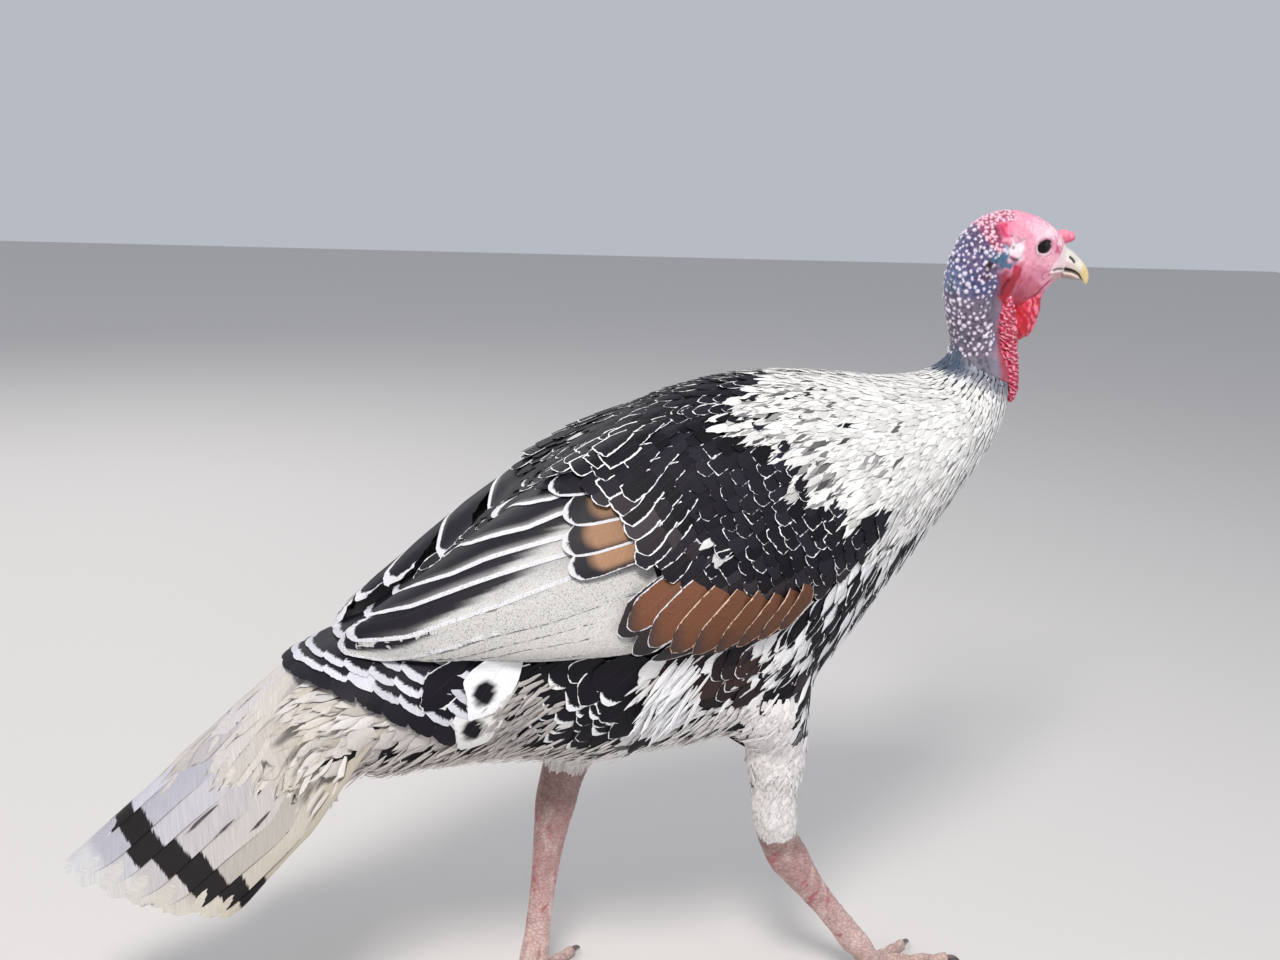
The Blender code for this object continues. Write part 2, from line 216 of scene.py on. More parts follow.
def tucked(points):
    # the belly ahead of the legs is drawn up by 0.22 of the depth below z 0.32, less towards the legs
    x, z = points[:, 0], points[:, 2]
    reach = smooth(-0.010, 0.035, x) * smooth(0.21, 0.14, x) * smooth(0.235, 0.26, z)
    return points + np.array([0, 0, 1.0]) * (0.22 * np.maximum(0, 0.32 - z) * reach)[:, None]


drapePoints, drapeFaces = voxelSkin(coatNodes, 0.0055)
drapePoints = relax(drapePoints, edgePairs(drapeFaces), 14)
drapePoints = tucked(drapePoints + 0.001 * outward(drapePoints, drapeFaces))
drapeTree = BVHTree.FromPolygons(drapePoints.tolist(), drapeFaces.tolist())
say(f"coat surface, {len(drapeFaces)} squares")


def onDrape(points, tree=drapeTree):
    # nearest place on the coat surface and the normal there
    found = [tree.find_nearest(p) for p in points.reshape(-1, 3).tolist()]
    return [np.array([f[k] for f in found]).reshape(points.shape) for k in (0, 1)]


# stations of the body from nape to tail: back x z, underside x z, half width
bodyLine = np.array([
    (3179, 7290, 3729, 6650, 252), (3079, 6930, 3649, 6560, 245), (3134, 6600, 3639, 6400, 240),
    (3219, 6350, 3689, 6230, 250), (3199, 6160, 3799, 5950, 320), (2899, 6020, 3749, 5550, 460),
    (2489, 6000, 3389, 5080, 680), (2059, 6030, 2909, 4510, 880), (1559, 6050, 2419, 3890, 1040),
    (1009, 6010, 1959, 3270, 1130), (409, 5860, 1469, 2790, 1150), (-241, 5510, 809, 2540, 1110),
    (-841, 5030, 59, 2520, 1010), (-1441, 4480, -741, 2650, 880), (-2041, 3960, -1441, 2680, 780),
    (-2711, 3640, -2111, 2600, 700), (-3150, 3230, -2560, 2330, 760),
]) / tenths
stations = np.arange(len(bodyLine))


def bodyAt(station):
    return [np.interp(station, stations, column) for column in bodyLine.T]


def ringAt(station, angle):
    # middle of the ellipse ring at that station, the way out at that angle and how far its edge is
    backX, backZ, lowX, lowZ, wide = bodyAt(station)
    middle = np.stack([(backX + lowX) / 2, 0 * backX, (backZ + lowZ) / 2], 1)
    rise = np.stack([(backX - lowX) / 2, 0 * backX, (backZ - lowZ) / 2], 1)
    tall = np.linalg.norm(rise, axis=1)
    way = unit(rise) * np.sin(angle)[:, None] + np.array([[0, -1.0, 0]]) * np.cos(angle)[:, None]
    return middle, way, 1 / np.sqrt((np.cos(angle) / wide) ** 2 + (np.sin(angle) / tall) ** 2)


def edgeAt(station, angle):
    middle, way, reach = ringAt(station, angle)
    return middle + way * reach[:, None]


def flattened(lie, normal):
    # the part of lie that runs along the surface
    return unit(lie - normal * (lie * normal).sum(1, keepdims=True))


def castIn(start, way, reach, place):
    # rays from start against the way out, onto the coat surface; a miss keeps place and way
    place, normal, met = place.copy(), way.copy(), np.zeros(len(place), dtype=bool)
    for i, (p, q) in enumerate(zip(start.tolist(), (-way).tolist())):
        spot, up = drapeTree.ray_cast(p, q, reach)[:2]
        if spot is not None:
            place[i], normal[i], met[i] = spot, up, True
    return place, normal, met


def bodyPlace(station, angle):
    # angle 0 is the right side, 90 degrees the back, 180 left, -90 the belly.
    # Gives the place on the coat surface, its normal and the way the coat lies
    middle, way, reach = ringAt(station, angle)
    start = middle + way * (reach + 0.034)[:, None]
    place, normal, _ = castIn(start, way, 0.12, edgeAt(station, angle))
    return place, normal, flattened(edgeAt(station + 0.15, angle) - edgeAt(station, angle), normal)


def bodyMap(station, angle):
    # unrolled skin: along the body by around it
    return np.stack([0.02 + 0.95 * station / 16, 0.32 + 0.66 * ((angle / fullTurn + 0.25) % 1)], 1)


def turned(lie, normal, degrees):
    # lie swung about the normal
    a = np.radians(np.broadcast_to(degrees, (len(lie),)))[:, None]
    return lie * np.cos(a) + np.cross(normal, lie) * np.sin(a)


class Bed:
    # the feathers' stations, angles, places, normals and lies

    def __init__(self, s, a, place, normal, lie):
        self.parts = self.s, self.a, self.place, self.normal, self.lie = s, a, place, normal, lie
        self.n, (self.x, self.y, self.z) = len(place), place.T

    def keep(self, which):
        return Bed(*[part[which] for part in self.parts])

    def turn(self, degrees):
        self.lie = turned(self.lie, self.normal, degrees)


# colours
def ink(red, green, blue):
    # a display colour as the linear colour that the shaders use
    c = np.array([red, green, blue]) / 255
    return np.where(c < 0.04045, c / 12.92, ((c + 0.055) / 1.055) ** 2.4)


tones = {name: np.array(value) for name, value in {
    "white": (0.80, 0.79, 0.77), "snow": (0.86, 0.86, 0.88), "black": (0.010, 0.009, 0.013),
    "soot": (0.030, 0.024, 0.026), "copper": (0.165, 0.066, 0.034), "tan": (0.36, 0.20, 0.115),
    "cream": (0.62, 0.56, 0.46), "grey": (0.34, 0.33, 0.34), "slate": (0.06, 0.085, 0.13),
    "lilac": (0.62, 0.61, 0.68), "silver": (0.44, 0.43, 0.435),
}.items()}


def mixTone(first, second, amount):
    amount = np.reshape(amount, (-1, 1))
    return first * (1 - amount) + second * amount


def spread(n, low, high):
    return low + (high - low) * rng.random(n)


def varied(tone, n, low, high):
    # the tone for n feathers, each from low to high times as bright
    return tone * spread(n, low, high)[:, None]


def wavering(n, size):
    return size * (rng.random(n) - 0.5)


def widening(v, narrow, share):
    # a vane's opening from its root: narrow at first, full beyond that share of the length
    return narrow + (1 - narrow) * np.sin(np.minimum(v / share, 1) * halfTurn / 2)


def closing(v, taper, share):
    return 1 - taper * np.clip((v - share) / (1 - share), 0, 1) ** 2


class Coat:
    # gathers vanes laid with the same look and makes one mesh of them

    def __init__(self, name):
        self.name, self.parts = name, []

    def lay(self, bed, length, half, tone, rimTone, rim=noRim, band=(0, 0, 0), speck=0.0, mapAt=None,
            across=3, along=5, base=-0.002, lift=0.06, roundness=1.2, taper=0.6, ridge=0.0004, fray=0.0,
            sway=0.0, narrow=0.5, tree=drapeTree, edged=0):
        # vane: along = L v - round W u^2 v^3, across = W g(v) u, with g widening from the root and
        # closing to the tip; then laid on the coat surface at height base + lift along + ridge (1 - |u|)
        n = bed.n

        def full(a):
            return np.broadcast_to(np.asarray(a, dtype=float), (n,)).reshape(n, 1, 1)

        root, lie, side = [a[:, None, None] for a in (bed.place, bed.lie, np.cross(bed.lie, bed.normal))]
        u = np.linspace(-1, 1, across + 1).reshape(1, 1, -1)
        v = (1 - (1 - np.linspace(0, 1, along + 1)) ** 1.25).reshape(1, -1, 1)
        length, half = full(length), full(half)
        g = widening(v, narrow, 0.5) * closing(v, full(taper), 0.6)
        ragged = full(fray) * length * v ** 3 * rng.random((n, 1, across + 1))
        far = length * v - full(roundness) * half * u ** 2 * v ** 3 - ragged
        wide = half * (g * u) + full(sway) * length * v ** 2
        grid = root + lie * far[..., None] + side * wide[..., None]
        height = full(base) + full(lift) * far + full(ridge) * (1 - np.abs(u))
        place, up = onDrape(grid, tree)
        grid = place + up * height[..., None]
        mapAt = bodyMap(bed.s, bed.a) if mapAt is None else mapAt
        self.take(grid, u, v, g * half, length, tone, rimTone, rim, None, band, speck, far, mapAt, edged)

    def take(self, grid, u, v, wide, length, tone, rimTone, rim, wash, band, speck, far, mapAt=None, edged=0):
        # grids of one or many vanes with everything the coat material reads; edged 1 or -1 keeps the rim
        # to that side of the vane and its tip
        if grid.ndim == 3:
            grid, u, v, wide, far = grid[None], u[None], v[None], wide[None], far[None]
        shape, n = grid.shape[:3], len(grid)

        def full(a, *more):
            return np.broadcast_to(np.asarray(a, dtype=float).reshape(-1, 1, 1, *more), shape + more)

        def over(*values):
            return np.stack([np.broadcast_to(a, shape) for a in values], -1)

        inward = wide * (1 - np.abs(u) if edged == 0 else 1 - edged * u)
        vane = over(inward, length * (1 - v), wide * u) * 100
        tone = full(tone, 3)
        if wash is not None:
            amount, pale = wash(u, v, far)
            amount = np.broadcast_to(amount, shape)[..., None]
            tone = tone * (1 - amount) + pale * amount
        marks = over(full(rim) * 100, full(speck), full(rng.random(n)))
        bands = over(full(band[0]), full(band[1]) * 100, full(band[2]) * 100)
        if mapAt is None:
            # long feathers lie on the map as they do in the side view, left ones a little higher
            x, y, z = grid[:, 0, shape[2] // 2].T
            mapAt = np.clip(np.stack([0.50 + 0.9 * x, 0.04 + 1.1 * (z - 0.36) + 0.0015 * (y > 0)], 1), 0.02, 0.29)
        flat = over((u + 1) / 2, v) * 0.003 + mapAt.reshape(n, 1, 1, 2)
        faces = squares(np.arange(grid.size // 3).reshape(shape))
        rest = [a.reshape(-1, a.shape[-1]) for a in (tone, full(rimTone, 3), vane, marks, bands, flat)]
        self.parts.append((grid.reshape(-1, 3), faces, *rest))

    def finish(self, material="coat"):
        thing = makeMesh(self.name, *joined(self.parts))
        rest = [np.concatenate(values) for values in list(zip(*self.parts))[2:]]
        for name, values in zip(("tone", "rimTone", "vane", "marks", "bands"), rest):
            giveAttribute(thing, name, values, name in ("tone", "rimTone"))
        layer = thing.data.uv_layers.new(name="OFBake")
        flat = rest[5][readMesh(thing.data)[1]]
        layer.data.foreach_set("uv", np.ascontiguousarray(flat, dtype=np.float32).ravel())
        thing.data.materials.append(materials[material])
        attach(thing, "root")
        say(f"{self.name}: {len(thing.data.polygons) * 2} triangles")

# shader building
def addNode(tree, kind, sets=None, **plugs):
    # plugs go to the inputs of that name, or i0, i1 and so on by number
    made = tree.nodes.new("ShaderNode" + kind)
    for key, value in (sets or {}).items():
        setattr(made, key, value)
    for key, value in plugs.items():
        socket = made.inputs[int(key[1:]) if key[1:].isdigit() else key.replace("_", " ")]
        if isinstance(value, bpy.types.NodeSocket):
            tree.links.new(value, socket)
        else:
            socket.default_value = value
    return made


surfaceGives = (("Colour", "Color"), ("Roughness", "Float"), ("Height", "Float"))


class Group:
    # a node group; each method adds a node and gives the socket of its result

    def __init__(self, name, takes, gives=surfaceGives):
        self.tree = bpy.data.node_groups.new(name, "ShaderNodeTree")
        for way, sockets in (("INPUT", takes), ("OUTPUT", gives)):
            for label, kind in sockets:
                self.tree.interface.new_socket(label, in_out=way, socket_type="NodeSocket" + kind)
        self.taken = self.tree.nodes.new("NodeGroupInput").outputs
        self.given = self.tree.nodes.new("NodeGroupOutput").inputs

    def add(self, kind, sets=None, **plugs):
        return addNode(self.tree, kind, sets, **plugs).outputs

    def reckon(self, operation, a, b=0.5, c=0.5, clamp=False):
        return self.add("Math", {"operation": operation, "use_clamp": clamp}, i0=a, i1=b, i2=c)[0]

    def plus(self, a, b):
        return self.reckon("ADD", a, b)

    def minus(self, a, b):
        return self.reckon("SUBTRACT", a, b)

    def times(self, a, b, clamp=False):
        return self.reckon("MULTIPLY", a, b, clamp=clamp)

    def line(self, a, b, c, clamp=False):
        # a b + c
        return self.reckon("MULTIPLY_ADD", a, b, c, clamp)

    def ramp(self, value, low, high):
        # 0 at low, 1 at high, smooth between
        return self.add("MapRange", {"interpolation_type": "SMOOTHSTEP"}, Value=value, From_Min=low, From_Max=high)[0]

    def mix(self, factor, a, b, kind="MIX"):
        return self.add("Mix", {"data_type": "RGBA", "blend_type": kind}, i0=factor, i6=a, i7=b)[2]

    def noise(self, where, scale, detail=3.0, rough=0.55):
        return self.add("TexNoise", Vector=where, Scale=scale, Detail=detail, Roughness=rough)[0]

    def cracks(self, where, scale, wide):
        cells = self.add("TexVoronoi", {"feature": "DISTANCE_TO_EDGE"}, Vector=where, Scale=scale)[0]
        return self.ramp(cells, 0.0, wide)

    def split(self, name):
        return self.add("SeparateXYZ", Vector=self.taken[name])

    def point(self, x, y, z):
        return self.add("CombineXYZ", X=x, Y=y, Z=z)[0]

    def stretched(self, *scale):
        return self.add("Mapping", Vector=self.taken["Place"], Scale=scale)[0]

    def give(self, **results):
        for name, socket in results.items():
            self.tree.links.new(socket, self.given[name])
        return self.tree


def barbGroup():
    # streaks that leave the shaft at a slant: noise stretched along tip distance + |shaft distance|
    g = Group("barbs", [("Vane", "Vector"), ("Chance", "Float")], [("Streak", "Float"), ("Fray", "Float")])
    vane = g.split("Vane")
    off = g.reckon("ABSOLUTE", vane[2])
    slant = g.plus(vane[1], off)
    lift = g.times(g.taken["Chance"], 40.0)
    sided = g.reckon("SIGN", vane[2])
    across, along, third = g.times(slant, 13.0), g.times(off, 0.9), g.plus(lift, sided)
    streak = g.noise(g.point(across, along, third), 1.0, 2.0)
    return g.give(Streak=streak, Fray=g.noise(g.point(g.times(slant, 5.0), along, third), 1.0, 3.0, 0.65))


def plumageGroup():
    # rim round the vane, a band or tip of the rim's colour, pepper specks and barb streaks
    g = Group("plumage", [
        ("Tone", "Color"), ("Rim Tone", "Color"), ("Vane", "Vector"), ("Marks", "Vector"),
        ("Bands", "Vector"), ("Place", "Vector"), ("Streak", "Float"), ("Fray", "Float"),
    ])
    vane, mark, band = g.split("Vane"), g.split("Marks"), g.split("Bands")
    fray, streak = g.taken["Fray"], g.taken["Streak"]
    ragged = g.line(fray, 0.34, -0.17)
    slow = g.point(g.times(vane[1], 2.2), g.times(vane[2], 2.6), g.times(mark[2], 60.0))
    patchy = g.line(g.noise(slow, 1.0, 1.0), 1.0, -0.5)
    loose = g.times(g.minus(0.26, mark[0]), 1.7, True)
    rimLeft = g.minus(mark[0], g.reckon("MINIMUM", vane[0], vane[1]))
    rimLeft = g.plus(rimLeft, g.times(patchy, loose))
    rimLeft = g.plus(rimLeft, g.times(ragged, g.plus(mark[0], 0.12)))
    rimMask = g.ramp(rimLeft, -0.035, 0.045)
    tip = g.plus(vane[1], g.times(ragged, 2.2))
    inBand = g.times(g.ramp(g.minus(tip, band[1]), -0.08, 0.08), g.ramp(g.minus(band[2], tip), -0.12, 0.12))
    mask = g.reckon("MAXIMUM", rimMask, g.times(inBand, band[0]), clamp=True)
    colour = g.mix(mask, g.taken["Tone"], g.taken["Rim Tone"])
    speck = g.times(g.ramp(g.noise(g.taken["Place"], 900.0, 2.0, 0.7), 0.55, 0.62), mark[1])
    colour = g.mix(speck, colour, (0.02, 0.018, 0.02, 1))
    quill = g.reckon("LESS_THAN", g.reckon("ABSOLUTE", vane[2]), 0.035)
    quill = g.times(quill, g.ramp(vane[1], 0.4, 2.5))
    plain = g.add("RGBToBW", Color=colour)[0]
    colour = g.mix(g.times(quill, g.line(plain, 0.30, 0.02)), colour, (0.5, 0.40, 0.32, 1))
    shade = g.line(streak, 0.62, 0.66)
    colour = g.mix(1.0, colour, g.add("CombineColor", Red=shade, Green=shade, Blue=shade)[0], "MULTIPLY")
    bright = g.add("RGBToBW", Color=colour)[0]
    rough = g.line(bright, 0.25, g.line(streak, 0.25, 0.40))
    return g.give(Colour=colour, Roughness=rough, Height=g.plus(streak, g.times(quill, 0.6)))


def bareGroup():
    # wrinkled bare skin: cracks between soft pebbles, mottled colour, wet-looking lumps
    g = Group("bareSkin", [("Tone", "Color"), ("Place", "Vector"), ("Relief", "Vector")])
    relief, where, tone = g.split("Relief"), g.taken["Place"], g.taken["Tone"]
    crack = g.cracks(where, 1150.0, 0.16)
    blotch, fine = g.noise(where, 260.0, 4.0, 0.6), g.noise(where, 1500.0, 3.0, 0.6)
    deep = g.mix(1.0, tone, (0.78, 0.58, 0.66, 1), "MULTIPLY")
    weak = g.times(g.minus(1.0, crack), 0.4)
    colour = g.mix(g.times(weak, relief[2]), tone, deep)
    colour = g.mix(g.times(g.ramp(blotch, 0.38, 0.75), 0.5), colour, deep)
    rough = g.line(fine, 0.25, 0.3)
    rough = g.minus(rough, g.times(relief[1], 0.14))
    height = g.plus(g.times(crack, relief[2]), g.times(fine, 0.35))
    return g.give(Colour=colour, Roughness=rough, Height=height)


def scaleGroup():
    # leg scales: cells flattened across the shank, darker between
    g = Group("legScales", [("Tone", "Color"), ("Place", "Vector")])
    tone = g.taken["Tone"]
    plate = g.cracks(g.stretched(1.0, 0.75, 1.25), 210.0, 0.12)
    blotch = g.noise(g.taken["Place"], 130.0, 4.0, 0.6)
    dark = g.mix(1.0, tone, (0.55, 0.42, 0.42, 1), "MULTIPLY")
    colour = g.mix(g.times(g.ramp(blotch, 0.4, 0.75), 0.5), tone, dark)
    colour = g.mix(g.line(plate, -0.6, 0.6), colour, dark)
    rough = g.line(blotch, 0.2, 0.35)
    return g.give(Colour=colour, Roughness=rough, Height=g.plus(plate, g.times(blotch, 0.5)))


def hornGroup():
    # horn: long fibres and a few pale growth lines
    g = Group("horn", [("Tone", "Color"), ("Place", "Vector")])
    tone = g.taken["Tone"]
    fibre = g.noise(g.stretched(0.35, 1.6, 1.0), 900.0, 3.0, 0.6)
    blotch = g.noise(g.taken["Place"], 240.0, 3.0, 0.5)
    dark = g.mix(1.0, tone, (0.74, 0.66, 0.56, 1), "MULTIPLY")
    mixed = g.line(fibre, 0.7, g.line(blotch, 0.5, -0.3), True)
    return g.give(Colour=g.mix(mixed, tone, dark), Roughness=g.line(fibre, 0.22, 0.26), Height=fibre)


groups = {
    "barbs": barbGroup(), "plumage": plumageGroup(), "bare": bareGroup(), "scales": scaleGroup(), "horn": hornGroup(),
}


def groupNode(tree, name, **plugs):
    return addNode(tree, "Group", {"node_tree": groups[name]}, **plugs).outputs


def newMaterial(name, bump, distance, specular=0.5, **fixed):
    # a Principled surface with a bump node, constants set on its own sockets; wear links a group to it
    material = bpy.data.materials.new(name)
    material.use_nodes = True
    tree = material.node_tree
    shader = tree.nodes["Principled BSDF"].inputs
    shader["Specular IOR Level"].default_value = specular
    for key, value in fixed.items():
        shader[key.replace("_", " ")].default_value = value
    raised = addNode(tree, "Bump", Strength=bump, Distance=distance)
    tree.links.new(raised.outputs[0], shader["Normal"])

    def wear(group, **plugs):
        made = groupNode(tree, group, **plugs)
        for result, socket in zip(("Colour", "Roughness"), (shader["Base Color"], shader["Roughness"])):
            tree.links.new(made[result], socket)
        tree.links.new(made["Height"], raised.inputs["Height"])
        return material

    return tree, wear


def attribute(tree, name, output="Vector"):
    return addNode(tree, "Attribute", {"attribute_name": name}).outputs[output]


def plumageMaterial(name, bump=0.5, specular=0.11):
    tree, wear = newMaterial(name, bump, 0.0004, specular)
    vane, marks = attribute(tree, "vane"), attribute(tree, "marks")
    chance = addNode(tree, "SeparateXYZ", Vector=marks).outputs[2]
    barbs = groupNode(tree, "barbs", Vane=vane, Chance=chance)
    spot = addNode(tree, "TexCoord").outputs["Object"]
    return wear(
        "plumage", Tone=attribute(tree, "tone", "Color"), Rim_Tone=attribute(tree, "rimTone", "Color"), Vane=vane,
        Marks=marks, Bands=attribute(tree, "bands"), Place=spot, Streak=barbs["Streak"], Fray=barbs["Fray"],
    )


def plainMaterial(name, group, bump, distance, relief=False, **fixed):
    tree, wear = newMaterial(name, bump, distance, **fixed)
    plugs = {"Tone": attribute(tree, "tone", "Color"), "Place": addNode(tree, "TexCoord").outputs["Object"]}
    if relief:
        plugs["Relief"] = attribute(tree, "relief")
    return wear(group, **plugs)


materials = {
    "coat": plumageMaterial("plumageCoat"),
    "quill": plumageMaterial("plumageQuills", 0.35, 0.18),
    "bare": plainMaterial("bareSkin", "bare", 0.6, 0.0005, True, Subsurface_Weight=0.12, Subsurface_Scale=0.004),
    "under": plainMaterial("coveredSkin", "horn", 0.3, 0.0006),
    "scales": plainMaterial("legScales", "scales", 0.6, 0.0008, Subsurface_Weight=0.06, Subsurface_Scale=0.003),
    "horn": plainMaterial("horn", "horn", 0.25, 0.0003, Coat_Weight=0.15, Coat_Roughness=0.25),
    "eye": plainMaterial("eyeball", "horn", 0.1, 0.0002, specular=0.15, Coat_Weight=0.16, Coat_Roughness=0.03),
}
say("materials")


# the skin: head and bare neck, feathered body, shanks and feet, in one piece.
# Places on the head are in tenths of a millimetre, colours are display colours
headLook = {
    "centre": ink(232, 160, 182),
    # soft patches of colour on both sides: x, z, reach in x, reach in z, colour
    "patches": np.reshape([
        3720, 7490, 260, 80, 243, 166, 188, 3530, 7440, 120, 60, 233, 140, 166,
        # the pale patches at 3900, 7380 and 4030, 7370 are a painted highlight on the forehead
        3900, 7380, 160, 100, 244, 200, 214, 4030, 7370, 90, 60, 250, 220, 228, 3700, 7340, 100, 70, 228, 158, 178,
        3660, 7300, 40, 25, 190, 146, 158, 4020, 7125, 120, 60, 246, 184, 200, 3860, 7110, 120, 70, 234, 164, 182,
        3840, 7000, 160, 90, 214, 136, 158, 3760, 6900, 120, 80, 190, 96, 120, 3740, 6810, 120, 70, 172, 74, 98,
        3900, 6840, 100, 70, 200, 104, 124, 4115, 7230, 48, 55, 198, 88, 126, 4160, 7290, 50, 50, 244, 212, 220,
        3460, 6880, 160, 140, 150, 20, 48, 3380, 6640, 160, 240, 120, 88, 112, 3140, 7050, 280, 440, 90, 104, 152,
        3110, 6880, 140, 100, 120, 138, 176, 3270, 7120, 160, 160, 112, 100, 146,
        3300, 6900, 170, 130, 84, 88, 138, 3220, 6640, 400, 140, 128, 120, 140,
        3300, 6400, 400, 200, 118, 110, 130, 3340, 6100, 600, 180, 126, 124, 140,
        3290, 7290, 120, 120, 104, 84, 128, 3410, 7350, 80, 100, 150, 52, 92, 3470, 7255, 60, 40, 176, 66, 104,
        3500, 7380, 70, 55, 222, 84, 124, 3500, 7380, 35, 30, 208, 44, 92, 3370, 7170, 100, 45, 70, 92, 134,
        3450, 7140, 110, 55, 60, 112, 140, 3510, 7080, 90, 45, 66, 100, 132, 3480, 7210, 55, 45, 120, 166, 190,
        3610, 7215, 85, 75, 244, 232, 238, 3665, 7155, 60, 50, 236, 208, 216, 3355, 7052, 52, 46, 76, 28, 46,
        3325, 6962, 60, 50, 96, 50, 96, 3645, 7000, 60, 100, 176, 34, 62, 3570, 6900, 75, 120, 150, 14, 38,
        3560, 6800, 70, 90, 160, 14, 40, 3640, 6720, 100, 80, 178, 14, 40,
    ], (-1, 7)),
    # painted lines: x, z along the line, width, colour, strength. The darker lines that lie on the creases listed
    # under folds (the mouth line, the curved line on the cheek, the crimson line down from the gape, the near-black
    # line behind the cheek and the line below the ear) are painted shade in those creases over the skin's own red
    "strokes": [
        ((4280, 7032, 4141, 7036, 4085, 7028), 13, (36, 34, 30), 1.0),
        ((4270, 6990, 4160, 6990, 4072, 6992, 4023, 6990), 7, (120, 78, 84), 0.8),
        ((4200, 7011, 4050, 7011), 8, (240, 222, 220), 0.8),
        ((4200, 6965, 4080, 6963), 10, (226, 180, 188), 0.7),
        ((4010, 7016, 3975, 7010, 3949, 6990, 3948, 6957, 3980, 6938), 7, (160, 72, 92), 0.65),
        ((4060, 6932, 4013, 6889, 3974, 6841, 3938, 6780), 15, (146, 34, 54), 0.85),
        ((3568, 6931, 3526, 6866, 3519, 6801), 15, (92, 6, 26), 0.9),
        ((3690, 7040, 3700, 6960, 3660, 6880), 8, (206, 86, 110), 0.6),
        ((3360, 7120, 3300, 7090, 3290, 7020), 8, (70, 62, 110), 0.6),
        ((3560, 7142, 3600, 7122, 3630, 7120), 16, (54, 30, 56), 0.9),
    ],
    # folds: x, z along the fold, width, height (below 0 for a crease)
    "folds": [
        ((4200, 7036, 4141, 7036, 4094, 7029, 4030, 7012), 9, -12), ((4260, 7010, 4060, 7010), 12, 5),
        ((4075, 6965, 4035, 6920, 3985, 6870, 3950, 6800), 18, 9),
        ((4060, 6932, 4013, 6889, 3974, 6841, 3938, 6780), 13, -14),
        ((3985, 7014, 3949, 6995, 3948, 6957, 3975, 6938), 9, -7),
        ((3735, 7120, 3725, 7020, 3735, 6940, 3700, 6860), 12, -10),
        ((3665, 7060, 3640, 6990, 3620, 6900, 3610, 6800), 20, 10),
        ((3568, 6931, 3526, 6866, 3519, 6801), 14, -16),
        ((3640, 7285, 3560, 7290, 3525, 7240, 3535, 7170), 12, 11),
        ((3675, 7220, 3650, 7150, 3580, 7135), 16, 13), ((3515, 7250, 3500, 7185), 9, 12),
        ((3480, 7245, 3460, 7180), 9, 13), ((3446, 7225, 3430, 7170), 9, 11),
        ((3560, 7142, 3610, 7122), 13, -13), ((3850, 7105, 3930, 7085, 4030, 7105), 7, -4),
        ((3830, 7070, 3930, 7050, 4010, 7062), 7, -4), ((3840, 7030, 3920, 7012), 7, -4),
        ((4130, 7325, 4060, 7350, 4000, 7395), 8, -5), ((3990, 7400, 3900, 7410, 3820, 7390), 8, -4),
        ((4150, 7330, 4175, 7270, 4170, 7215), 14, 10), ((4110, 7265, 4115, 7200), 15, -9),
    ],
    "pearlBand": (3600, 7515, 3439, 7495, 3354, 7449, 3346, 7387, 3365, 7330, 3412, 7264, 3439, 7231),
    "hornEdge": (6930, 4050, 7030, 4030, 7069, 4060, 7123, 4118, 7186, 4165, 7246, 4200),
    # ear opening, and pits in the temple and behind the jaw: x, z, size, depth
    "pits": ((3590, 7228, 15, 22), (3573, 7331, 12, 10), (3355, 7052, 36, 24)),
    "eye": (0.3942, 0.0200, 0.7244, 0.0105), "gaze": (0.12, 0.99, 0.02),
    "opening": (0.3942, 0.7243, 0.0084, 0.0060, math.radians(21.0)),
    # dark and light colours of the lumpy parts: on the strings and the wattle the light one goes on the raised ridges
    # and bulges and the dark one in the grooves, painted highlight and shade over the red skin; on the snood the
    # light one is its upper part
    "string": ((150, 18, 48), (206, 66, 98)), "wattle": ((178, 4, 30), (212, 30, 62)),
    "snood": ((216, 100, 126), (240, 146, 166)),
}


def toned(tone, *layers):
    # colours laid over a tone one after the other: colour, share
    for colour, amount in layers:
        tone = mixTone(tone, ink(*colour) if isinstance(colour, tuple) else colour, amount)
    return tone


def peak(x, middle, width):
    return np.exp(-((x - middle) / width) ** 2)


def awayFrom(xz, line):
    # distance in the side view to a bent line
    line = np.reshape(line, (-1, 2)) / tenths
    best = np.full(len(xz), 9.0)
    for a, b in zip(line[:-1], line[1:]):
        t = np.clip(((xz - a) @ (b - a)) / ((b - a) @ (b - a)), 0, 1)[:, None]
        best = np.minimum(best, np.linalg.norm(xz - a - t * (b - a), axis=1))
    return best


def along(xz, line, width):
    return peak(awayFrom(xz, line), 0, width)


def nearNodes(points, *names):
    # 1 on the nodes' own surfaces, 0 beyond reach
    result, reach = np.zeros(len(points)), 0.0012
    for name in names:
        co, faces = nodeArrays([name])
        inside = np.flatnonzero(((points > co.min(0) - reach * 2) & (points < co.max(0) + reach * 2)).all(1))
        tree = BVHTree.FromPolygons(co.tolist(), faces.tolist())
        near = [1 - min(1, tree.find_nearest(p)[3] / reach) for p in points[inside].tolist()]
        result[inside] = np.maximum(result[inside], near)
    return smooth(0.0, 0.6, result)


def strewPearls(points, normal, zones, near):
    # one bead, or a short crooked chain of them, at random starts in each zone
    chosen, radius = np.zeros((0, 3)), np.zeros(0)
    pearl, bead = np.zeros(len(points)), np.zeros(len(points))
    for zone, count, small, big, gap, chain in zones:
        where = np.flatnonzero(zone)
        for start in rng.choice(where, min(count, len(where)), replace=False):
            size = small + (big - small) * rng.random() ** 2.0
            centre = points[start]
            if (np.linalg.norm(chosen - centre, axis=1) < gap * (size + radius) + 0.0002).any():
                continue
            way = rng.normal(size=3)
            way = unit(way - (way @ normal[start]) * normal[start]) * size
            for _ in range(1 + (rng.random() < chain) + (rng.random() < chain * 0.6)):
                chosen, radius = np.vstack([chosen, centre]), np.append(radius, size)
                far = np.linalg.norm(points[near] - centre, axis=1) / size
                pearl[near] = np.maximum(pearl[near], smooth(1.45, 0.35, far) * size)
                bead[near] = np.maximum(bead[near], smooth(1.40, 0.55, far))
                centre = centre + 1.05 * way + 0.5 * size * rng.normal(size=3)
                size = size * 0.85
    return pearl, bead


